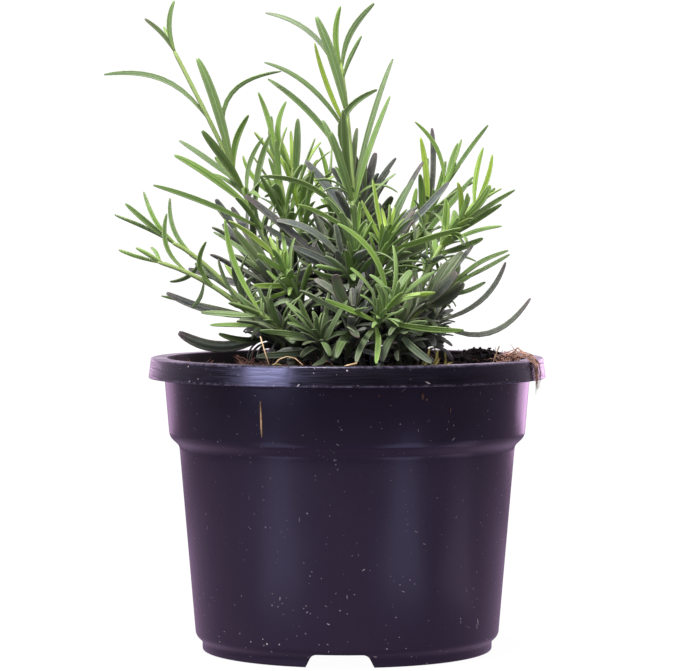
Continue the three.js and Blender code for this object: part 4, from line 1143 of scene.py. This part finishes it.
# how much painted light each stem gets and how old it looks, then the leaves that differ from it, by their
# place in aims
stemLight = dict(tall_centre=1.3, right_bright=1.25, tall_left=1.0, long_left_upper=0.82,
                 long_left_lower=0.82, left_front=0.85)
stemAges = dict(
    tall_left=0.18, tall_centre=0.14, dark_centre=0.8, left_upright=0.1, left_inner=0.08,
    long_left_upper=0.3, long_left_lower=0.32, left_front=0.34, left_olive=0.62, left_grey=0.8,
    low_left=0.76, front_left=0.38, lime_left=0.04, front_purple=0.8, front_centre=0.24,
    centre_green=0.14, front_right=0.14, right_front=0.55, right_bright=0.06, right_grey=0.76,
    right_light=0.18, right_brown=0.62, right_low=0.34, right_dark=0.86, back_inner=0.6,
)
leafTints = dict(
    tall_left={0: "sage", 1: "olive", 2: "green", 3: "dustyGreen", 4: "sage", 5: "sage", 7: "deepGreen",
               8: "dustyGreen", 9: "green"},
    tall_centre={0: "green", 1: "dustyGreen", 2: "sage", 3: "sage", 4: "greyGreen", 5: "lime",
                 6: "dustyGreen", 7: "deepGreen", 8: "deepGreen", 9: "olive", 10: "sage", 11: "sage",
                 12: "deepGreen", 13: "dustyGreen", 14: "green"},
    left_upright={0: "green", 1: "deepGreen"},
    left_inner={0: "green", 1: "deepGreen"},
    dark_centre={0: "purple", 1: "olive", 2: "purple", 3: "lavenderGrey", 4: "lavenderGrey"},
    left_grey={0: "lavenderGrey", 1: "purple", 2: "lavenderGrey", 3: "lavenderGrey"},
    left_olive={0: "olive", 1: "olive", 2: "purple", 3: "purple", 4: "deepGreen"},
    low_left={0: "darkGrey", 1: "deepGreen", 2: "greyPink", 3: "olive"},
    left_front={0: "green", 1: "deepGreen", 2: "green"},
    front_left={0: "sage", 3: "greyGreen", 4: "greyGreen"},
    front_purple={0: "pinkTip", 1: "greyGreen", 2: "greyGreen", 3: "pinkTip"},
    front_centre={0: "deepGreen", 2: "sage", 3: "sage", 6: "lavenderGrey"},
    centre_green={2: "green"},
    front_right={0: "green", 1: "green", 3: "greyGreen", 4: "green", 5: "green"},
    right_front={0: "greyGreen", 1: "greyGreen", 2: "sage", 3: "greyGreen"},
    right_bright={0: "green", 1: "lime", 5: "deepGreen", 7: "deepGreen"},
    right_grey={0: "lavenderGrey", 1: "greyGreen", 2: "darkGrey", 3: "olive"},
    right_light={0: "lime", 2: "purple", 5: "deepGreen"},
    right_brown={0: "dimGreen", 1: "nearBlack", 2: "olive", 3: "olive"},
    right_dark={0: "dimGreen", 1: "dimGreen"},
)

blade = dict(
    across=4, along=6, smallAcross=2, smallAlong=5, smallLength=13, rowPower=1.4,
    foot=0.36, widest=0.52, taper=0.5, taperBlunt=0.16, tip=0.12, tipBlunt=0.17,
    least=0.24, leastBlunt=0.4, bluntWidth=2.3, groove=-0.34, crest=-0.05, margin=-0.72,
    flatFrom=1.25, curl=0.05, wave=0.35, twist=0.7, thickness=0.6, tuck=0.8,
    slim=1.02, slimOld=1.14, taperPower=1.7, fold=(-0.1, 0.25), raised=0.3,
    curlFrom=0.55, curlRate=5, swayRate=5.5, footThick=0.65, marginThick=0.7, middleThick=1.1,
)
# a stem's tube: its steps, how it swells at each pair of leaves, and its closed end
stalk = dict(step=3.5, leastSteps=10, sunk=0.4, swell=0.92, swellMore=0.1, slim=0.96, end=1.2,
             endRadius=0.3, sides=8, light=0.8, lightMore=0.4, usualLight=0.95,
             ageFrom=92, oldAge=0.75, youngAge=0.36, topAge=0.08)
# leaf colours: by age, then the pale felt, and what the foot, rib, margins, tips and hairs add; the dark
# groove line is painted shade and the pale margins a painted highlight
felt = dict(
    ages=[(0.0, "a6c440"), (0.2, "7b9f3a"), (0.42, "5a7930"), (0.66, "4d5834"), (0.86, "474b47"),
          (1.0, "40373d")],
    sage="8fab7e", lavenderGrey="7d8890", foot="8da34a", groove="2f3b22", paleRib="bdd398",
    margin="a5b383", tip="624752", edge="694a5c", flush="463d4a", hairs="b4bfae",
)
# how a leaf's look is drawn: old leaves first, then young ones
toneRule = dict(usualAge=(0.66, 0.2), ageDown=(0.2, 0.4), purple=(1.0, 0.2), innerLight=0.7,
                ageSwing=(-0.1, 0.16), tintLight=0.2, tintAge=0.3, kept=0.82, keptMore=0.3)
# inner leaves get less light: the crown's middle, its radii, how dark it gets, and the darker foot
crown = dict(middle=(-4, 2, 102), radii=(44, 42, 48), dark=0.02, darkTo=0.35, lightFrom=0.87,
             foot=0.12, footFrom=92, footTo=113, frontFrom=-33, frontTo=-47)


def makeBladeBlank(name, across, along):
    # a flat strip two units square with a second skin under it, its rows closer at the tip
    bm = bmesh.new()
    bmesh.ops.create_grid(bm, x_segments=across, y_segments=along, size=1)
    for vert in bm.verts:
        vert.co.y = 1 - 2 * ((1 - vert.co.y) / 2) ** blade["rowPower"]
    bmesh.ops.solidify(bm, geom=bm.faces[:], thickness=1)
    bmesh.ops.recalc_face_normals(bm, faces=bm.faces)
    uvs = bm.loops.layers.uv.new("leafUv")
    for face in bm.faces:
        for loop in face.loops:
            loop[uvs].uv = ((loop.vert.co.x + 1) / 2, (loop.vert.co.y + 1) / 2)
    mesh = meshFrom(name, bm)
    print(name, "has", len(mesh.polygons), "faces")
    return mesh


bladeBlank = makeBladeBlank("bladeBlank", blade["across"], blade["along"])
smallBlank = makeBladeBlank("smallBlank", blade["smallAcross"], blade["smallAlong"])


def between(low, high, share):
    return low + (high - low) * share


def leafShare(s, blunt):
    # half width along a leaf: a narrow foot, widest near the middle, then a taper and a round tip
    if s < blade["widest"]:
        return between(blade["foot"], 1, math.sin(math.pi / 2 * s / blade["widest"]))
    taper = between(blade["taper"], blade["taperBlunt"], blunt)
    share = 1 - taper * ((s - blade["widest"]) / (1 - blade["widest"])) ** blade["taperPower"]
    tip = between(blade["tip"], blade["tipBlunt"], blunt)
    if s > 1 - tip:
        share *= math.sqrt(max(0.0, 1 - ((s - 1 + tip) / (tip * 1.06)) ** 2))
    return max(share, between(blade["least"], blade["leastBlunt"], blunt))


def sectionHeight(across, half):
    # the margins roll under, less on a wide leaf, and a groove runs along the middle
    if abs(across) < 0.1:
        return blade["groove"]
    if abs(across) < 0.75:
        return blade["crest"]
    return blade["margin"] * min(1.0, blade["flatFrom"] / max(half, 0.1))


def ease(value, low, high):
    u = min(max((value - low) / (high - low), 0), 1)
    return u * u * (3 - 2 * u)


def lightAt(point):
    away = math.sqrt(sum(((point[i] - crown["middle"][i]) / crown["radii"][i]) ** 2 for i in range(3)))
    inside = crown["dark"] + (1 - crown["dark"]) * ease(away, crown["darkTo"], crown["lightFrom"])
    clear = max(ease(point[2], crown["footFrom"], crown["footTo"]),
                ease(-point[1], -crown["frontFrom"], -crown["frontTo"]))
    return inside * (crown["foot"] + (1 - crown["foot"]) * clear)


def addBlade(bm, leaf, tone, draw):
    first = len(bm.verts)
    length = curveLength(leaf["curve"])
    bm.from_mesh(smallBlank if length < blade["smallLength"] or leaf.get("inner") else bladeBlank)
    bm.verts.ensure_lookup_table()
    toneLayer = bm.verts.layers.float_color["leafTone"]
    twist = draw.uniform(-1, 1) * blade["twist"]
    curl = draw.uniform(-0.8, 1) * blade["curl"] * length
    wave = draw.uniform(-1, 1) * blade["wave"]
    fold = draw.uniform(*blade["fold"])
    slim = between(blade["slim"], blade["slimOld"], tone[1])
    blunt = min(max(tone[1], leaf["width"] - blade["bluntWidth"]), 1)
    rows = {}
    for vert in bm.verts[first:]:
        across, s, lower = vert.co.x, (vert.co.y + 1) / 2, vert.co.z < -0.5
        key = round(s, 4)
        if key not in rows:
            rows[key] = [Vector(p) for p in bladeFrame(leaf, min(s, 0.995), leaf["roll"] + twist * (s - 0.3))]
        centre, side, up = rows[key]
        share = leafShare(s, blunt)
        half = slim * leaf["width"] / 2 * share
        height = (sectionHeight(across, half) + fold * (abs(across) - 0.5)) * half
        thick = blade["thickness"] * between(blade["footThick"], 1, share)
        thick *= blade["marginThick"] if abs(across) > 0.75 else blade["middleThick"]
        curled = curl * max(0, s - blade["curlFrom"]) ** 2 * blade["curlRate"]
        lift = curled + height + blade["raised"] * half - (thick if lower else 0)
        sway = wave * math.sin(s * blade["swayRate"] + leaf["width"] * 9) * s
        reach = across * half * (blade["tuck"] if lower else 1)
        vert.co = centre + side * (reach + sway) + up * lift
        vert[toneLayer] = (*tone[:3], tone[3] * lightAt(vert.co))


def leafTone(stem, leaf, draw):
    # lightness, age, how purple the tip is, and how much of its full light it keeps
    rule = toneRule
    light, swing, tipDraw = draw.random(), draw.uniform(*rule["ageSwing"]), draw.random()
    tint = leaf.get("tint") or leafTints.get(stem["name"], {}).get(leaf.get("aim"))
    if tint:
        own = tints[tint]
        age = min(max(own[1] + rule["tintAge"] * swing, 0.0), 1.0)
        return (own[0] + rule["tintLight"] * light, age, own[2], own[3])
    kind = 0 if stem["tone"] == "old" else 1
    age = stemAges.get(stem["name"], rule["usualAge"][kind]) + (1 - leaf["share"]) * rule["ageDown"][kind]
    purple = tipDraw ** 2 * rule["purple"][kind]
    if leaf.get("inner"):
        light += rule["innerLight"] * (1 - leaf["share"])
    return (light, min(max(age + swing, 0.0), 1.0), purple, rule["kept"] + rule["keptMore"] * tipDraw)


def addStem(bm, stem, draw):
    curve = stemCurve(stem)
    first = len(bm.verts)
    steps = max(stalk["leastSteps"], round(curveLength(curve) / stalk["step"]))
    foot = Vector((*stem["root"], curve[0][2] - plant["collar"] - plant["holeDepth"]))
    points = [foot, Vector(curve[0]) - Vector((0, 0, stalk["sunk"]))]
    radii = [plant["rootRadius"]] * 2
    for i in range(1, steps + 1):
        u = i / steps
        points.append(Vector(curveAt(curve, u)))
        pairs = u * curveLength(curve) / plant["pairStep"]
        swell = stalk["swell"] + stalk["swellMore"] * math.cos(pairs * math.tau)
        radii.append(stemRadius(u) * swell * stalk["slim"])
    points.append(points[-1] + Vector(directionAt(curve, 1)) * stalk["end"])
    radii.append(stalk["endRadius"])
    threadThrough(bm, points, radii, stalk["sides"])
    bm.verts.ensure_lookup_table()
    toneLayer = bm.verts.layers.float_color["leafTone"]
    light = stalk["light"] + stalk["lightMore"] * draw.random()
    footAge = stalk["oldAge"] if stem["tone"] == "old" else stalk["youngAge"]
    # each stem's painted light: darker deep in the crown and near the peat, scaled by stemLight
    bright = stemLight.get(stem["name"], stalk["usualLight"])
    for vert in bm.verts[first:]:
        rise = (vert.co.z - stalk["ageFrom"]) / max(curve[2][2] - stalk["ageFrom"], 1)
        age = footAge * (1 - min(max(rise, 0), 1)) + stalk["topAge"]
        vert[toneLayer] = (light, age, 0, lightAt(vert.co) * bright)


def leafFelt():
    made, tree, shader = newMaterial("felted lavender leaf", {
        "Specular IOR Level": 0.42, "Sheen Weight": 0.16, "Sheen Roughness": 0.45,
        "Sheen Tint": "e4e6e2"})
    tone = addNode(tree, "Attribute", attribute_name="leafTone").outputs
    light, age, purple = addNode(tree, "SeparateColor", {0: tone["Color"]}).outputs[:3]
    uv = addNode(tree, "UVMap", uv_map="leafUv").outputs[0]
    across, along = addNode(tree, "SeparateXYZ", {0: uv}).outputs[:2]
    aged = plus(tree, age, mottle(tree, 110.0, -0.07, 0.07))
    base = rampOf(tree, aged, felt["ages"])
    # pale felt: sage on green leaves, lavender grey on old ones
    felted = mixColours(tree, spread(tree, aged, 0.5, 0.85), felt["sage"], felt["lavenderGrey"])
    base = mixColours(tree, spread(tree, light, 0, 2, 0.0, 0.55), base, felted)
    # yellower and paler towards the foot of a young leaf
    base = mixColours(tree, spread(tree, along, 0.35, 0.02, 0.0, 0.4), base, felt["foot"])
    # a dark line painted in the groove as its shade, or a pale rib on sage leaves, and pale rolled margins
    # painted as their highlight
    middle = calculate(tree, "ABSOLUTE", calculate(tree, "SUBTRACT", across, 0.5))
    paleRib = times(tree, spread(tree, light, 0.8, 1.1), spread(tree, aged, 0.6, 0.5))
    rib = mixColours(tree, paleRib, felt["groove"], felt["paleRib"])
    base = mixColours(tree, spread(tree, middle, 0.12, 0.02, 0.0, 0.32), base, rib)
    base = mixColours(tree, spread(tree, middle, 0.3, 0.48, 0.0, 0.38), base, felt["margin"])
    # tips and edges of old leaves turn purple brown, then the whole leaf
    tip = times(tree, spread(tree, along, 0.8, 1.0, 0.0, 0.85), purple, True)
    base = mixColours(tree, tip, base, felt["tip"])
    edge = times(tree, spread(tree, middle, 0.44, 0.5, 0.0, 0.7), purple, True)
    base = mixColours(tree, edge, base, felt["edge"])
    flush = times(tree, spread(tree, aged, 0.66, 1.0, 0.0, 0.22), mottle(tree, 60.0))
    base = mixColours(tree, flush, base, felt["flush"])
    hairs = times(tree, spread(tree, aged, 0.45, 0.9, 0.0, 0.2), mottle(tree, 900.0), True)
    base = mixColours(tree, hairs, base, felt["hairs"])
    # leaves deep in the crown get little light and stay dark
    base = darkened(tree, base, tone["Alpha"])
    # shallow side veins, slanted from the rib
    slant = plus(tree, times(tree, along, 60.0), times(tree, middle, -9.0))
    veins = times(tree, calculate(tree, "SINE", slant), spread(tree, aged, 0.4, 0.7))
    connect(tree, shader, base, spread(tree, aged, 0, 1, 0.42, 0.6), bumpOf(tree, veins, 0.12, 0.0001))
    return made


leafMaterial = leafFelt()
grownLeaves = growLeaves()
print("leaves of the part:", sum(map(len, grownLeaves)))
extraLeaves = growSmallLeaves(grownLeaves)
print("small leaves:", sum(map(len, extraLeaves)))
for owner, share, bend, tip, width, tint in sprouts:
    index = [stem["name"] for stem in leafyStems].index(owner)
    start = curveAt(stemCurve(leafyStems[index]), share)
    extraLeaves[index].append(dict(curve=(start, add(start, bend), add(start, tip)), across=(1, 0.2, 0),
                                   roll=0.3, width=width, share=share, tint=tint))
for index, stem in enumerate(leafyStems):
    draw = random.Random(300 + index)
    bm = bmesh.new()
    bm.verts.layers.float_color.new("leafTone")
    bm.loops.layers.uv.new("leafUv")
    addStem(bm, stem, draw)
    for leaf in grownLeaves[index] + extraLeaves[index]:
        addBlade(bm, leaf, leafTone(stem, leaf, draw), draw)
    finishPiece("stem_" + stem["name"], bm, leafMaterial, ["shoot_" + stem["name"]], 1)
bpy.data.meshes.remove(bladeBlank)
bpy.data.meshes.remove(smallBlank)
print("leafy stems made")


studio = dict(
    cameraDistance=1055.0, cameraHeight=144.9, focalPixels=3222.0, horizonRow=207.0,
    axisColumn=347.1, frameWidth=700, frameHeight=671, sensorWidth=36, clip=(0.01, 20),
    white=1.05, floorShade=0.22, floorMirror=(0.49, 0.34, 0.54), mirrorFall=(0.262, 0.29, 1.0, 0.66),
    floorGlow=0.93, glowFall=(0.05, 0.115), floorRadius=2600, floorDrop=0.15,
    # how the surroundings brighten towards the back and the top, and in reflections:
    # where each rise starts and ends, then its low and high level
    worldBack=(-0.5, 0.7, 0.03, 0.42), worldTop=(0.1, 0.9, 0, 0.36), worldGloss=(0.3, 0.97, 1.5, 2.3),
    litTone=(0.97, 0.98, 1.0), glossTone=(0.96, 0.78, 1.0),
    # cards on the floor: angle from the front, watts and colour
    streaks=[(-24.6, 0.031, (0.72, 0.76, 1.0)), (20.5, 0.034, (0.72, 0.76, 1.0)),
             (44.0, 0.016, (1.0, 0.8, 0.95))],
    streakLength=170.0, streakWidth=56.0, streakStart=55.0, streakWall=53.0,
    # place, size in metres, watts, colour, height aimed at, whether it lights and whether it mirrors
    lamps={
        "rim strip": ((-515, -505, 250), (0.3, 0.3), 4.3, (0.74, 0.76, 1.0), 90, False, True),
        "right edge strip": ((330, 520, 90), (0.3, 0.6), 1.25, (1.0, 0.62, 1.0), 60, False, True),
        "left edge strip": ((-330, 520, 90), (0.3, 0.6), 0.55, (1.0, 0.62, 1.0), 60, False, True),
        "overhead": ((-260, -480, 1000), (0.5, 0.4), 19, (1.0, 0.985, 0.95), 130, True, True),
        "front fill": ((120, -900, 420), (0.9, 0.7), 3.2, (1.0, 1.0, 0.94), 130, True, False),
        "back fill": ((250, 800, 520), (0.9, 0.7), 5, (1.0, 1.0, 0.97), 120, True, False),
    },
)


def turned(x, y, z):
    return intoPart @ Vector((x, y, z))


def aimAt(thing, target):
    thing.rotation_mode = "QUATERNION"
    thing.rotation_quaternion = (target - thing.location).to_track_quat("-Z", "Y")


def makeCamera():
    data = bpy.data.cameras.new("camera")
    data.sensor_width = studio["sensorWidth"]
    data.lens = studio["focalPixels"] * studio["sensorWidth"] / studio["frameWidth"]
    data.clip_start, data.clip_end = studio["clip"]
    camera = showObject("camera", data)
    bpy.context.scene.camera = camera
    camera.location = turned(0, -studio["cameraDistance"], studio["cameraHeight"])
    # the pot's axis is left of the middle column and the horizon is above the middle row
    perPixel = studio["cameraDistance"] / studio["focalPixels"]
    aside = perPixel * (studio["frameWidth"] / 2 - studio["axisColumn"])
    down = perPixel * (studio["frameHeight"] / 2 - studio["horizonRow"])
    aimAt(camera, turned(aside, 0, studio["cameraHeight"] - down))


def paleFloor():
    # it whitens out away from the pot and stays dim in reflections, as a lit table does in a booth
    made, tree, shader = newMaterial("pale floor", {
        "Roughness": 0.9, "Specular IOR Level": 0.1, "Base Color": (*[studio["floorShade"]] * 3, 1)})
    away = lengthOf(tree, objectPlace(tree))
    rays = addNode(tree, "LightPath").outputs
    white = addNode(tree, "Emission", {"Color": (1, 1, 1, 1), "Strength": studio["white"]})
    # the upper band mirrors the floor further out, which is darker
    lilac = addNode(tree, "Emission", {"Color": (*studio["floorMirror"], 1),
                                       "Strength": spread(tree, away, *studio["mirrorFall"])})
    mirrored = addNode(tree, "MixShader", {0: rays["Is Glossy Ray"], 1: shader.outputs[0],
                                           2: lilac.outputs[0]})
    glow = times(tree, rays["Is Camera Ray"],
                 spread(tree, away, *studio["glowFall"], studio["floorGlow"], 1))
    both = addNode(tree, "MixShader", {0: glow, 1: mirrored.outputs[0], 2: white.outputs[0]})
    tree.links.new(both.outputs[0], tree.nodes["Material Output"].inputs["Surface"])
    return made


def makeFloor():
    bm = bmesh.new()
    bmesh.ops.create_circle(bm, cap_ends=True, segments=96, radius=studio["floorRadius"])
    bmesh.ops.translate(bm, vec=(0, 0, -studio["floorDrop"]), verts=bm.verts)
    bm.transform(intoPart)
    floor = showObject("floor", meshFrom("floor", bm))
    floor.data.materials.append(paleFloor())


def addLamp(name, place, size, watts, colour, aimHeight=None, diffuse=True, glossy=True):
    data = bpy.data.lights.new(name, "AREA")
    data.shape = "RECTANGLE"
    data.size, data.size_y = size
    data.energy = watts
    data.color = colour
    lamp = showObject(name, data)
    lamp.location = turned(*place)
    lamp.visible_camera = False
    lamp.visible_diffuse, lamp.visible_glossy = diffuse, glossy
    if aimHeight:
        aimAt(lamp, turned(0, 0, aimHeight))
    return lamp


def addStreak(degrees, watts, colour):
    # a card on the floor that the tapered wall mirrors as an upright streak at this angle from the front
    angle = math.radians(degrees)
    spot = Vector((math.sin(angle), -math.cos(angle), 0)) * studio["streakWall"]
    away = Vector((math.sin(2 * angle), -math.cos(2 * angle), 0))
    size = (studio["streakWidth"] / 1000, studio["streakLength"] / 1000)
    centre = spot + away * (studio["streakLength"] / 2 + studio["streakStart"])
    lamp = addLamp("streak card", (centre.x, centre.y, 1), size, watts, colour, diffuse=False)
    lamp.rotation_euler = (math.pi, 0, math.atan2(away.y, away.x) + partTurn - math.pi / 2)


def makeWorld():
    world = bpy.data.worlds.new("studio")
    bpy.context.scene.world = world
    world.use_nodes = True
    tree = world.node_tree
    tree.nodes.clear()
    rays = addNode(tree, "LightPath").outputs
    heading = addNode(tree, "TexCoord").outputs["Generated"]
    # bright overhead, paler behind the pot than on the camera's side
    back = (math.cos(partTurn + math.pi / 2), math.sin(partTurn + math.pi / 2), 0)
    behind = addNode(tree, "VectorMath", {0: heading, 1: back}, operation="DOT_PRODUCT").outputs["Value"]
    sky = addNode(tree, "SeparateXYZ", {0: heading}).outputs["Z"]
    around = spread(tree, behind, *studio["worldBack"])
    above = spread(tree, sky, *studio["worldTop"])
    # reflections see a brighter lilac background than the light that falls on the leaves
    gloss = rays["Is Glossy Ray"]
    mirrored = spread(tree, behind, *studio["worldGloss"])
    boost = plus(tree, 1.0, times(tree, gloss, calculate(tree, "SUBTRACT", mirrored, 1.0)))
    level = times(tree, plus(tree, around, above), boost)
    tone = mixColours(tree, gloss, (*studio["litTone"], 1), (*studio["glossTone"], 1))
    lit = addNode(tree, "Background", {"Color": tone, "Strength": level})
    seen = addNode(tree, "Background", {"Color": (1, 1, 1, 1), "Strength": studio["white"]})
    both = addNode(tree, "MixShader", {0: rays["Is Camera Ray"], 1: lit.outputs[0], 2: seen.outputs[0]})
    tree.links.new(both.outputs[0], addNode(tree, "OutputWorld").inputs["Surface"])


makeCamera()
makeFloor()
makeWorld()
for streak in studio["streaks"]:
    addStreak(*streak)
for name, lamp in studio["lamps"].items():
    addLamp(name, *lamp)
scene = bpy.context.scene
scene.view_settings.view_transform = "Standard"
scene.view_settings.look = "None"
print("studio made")
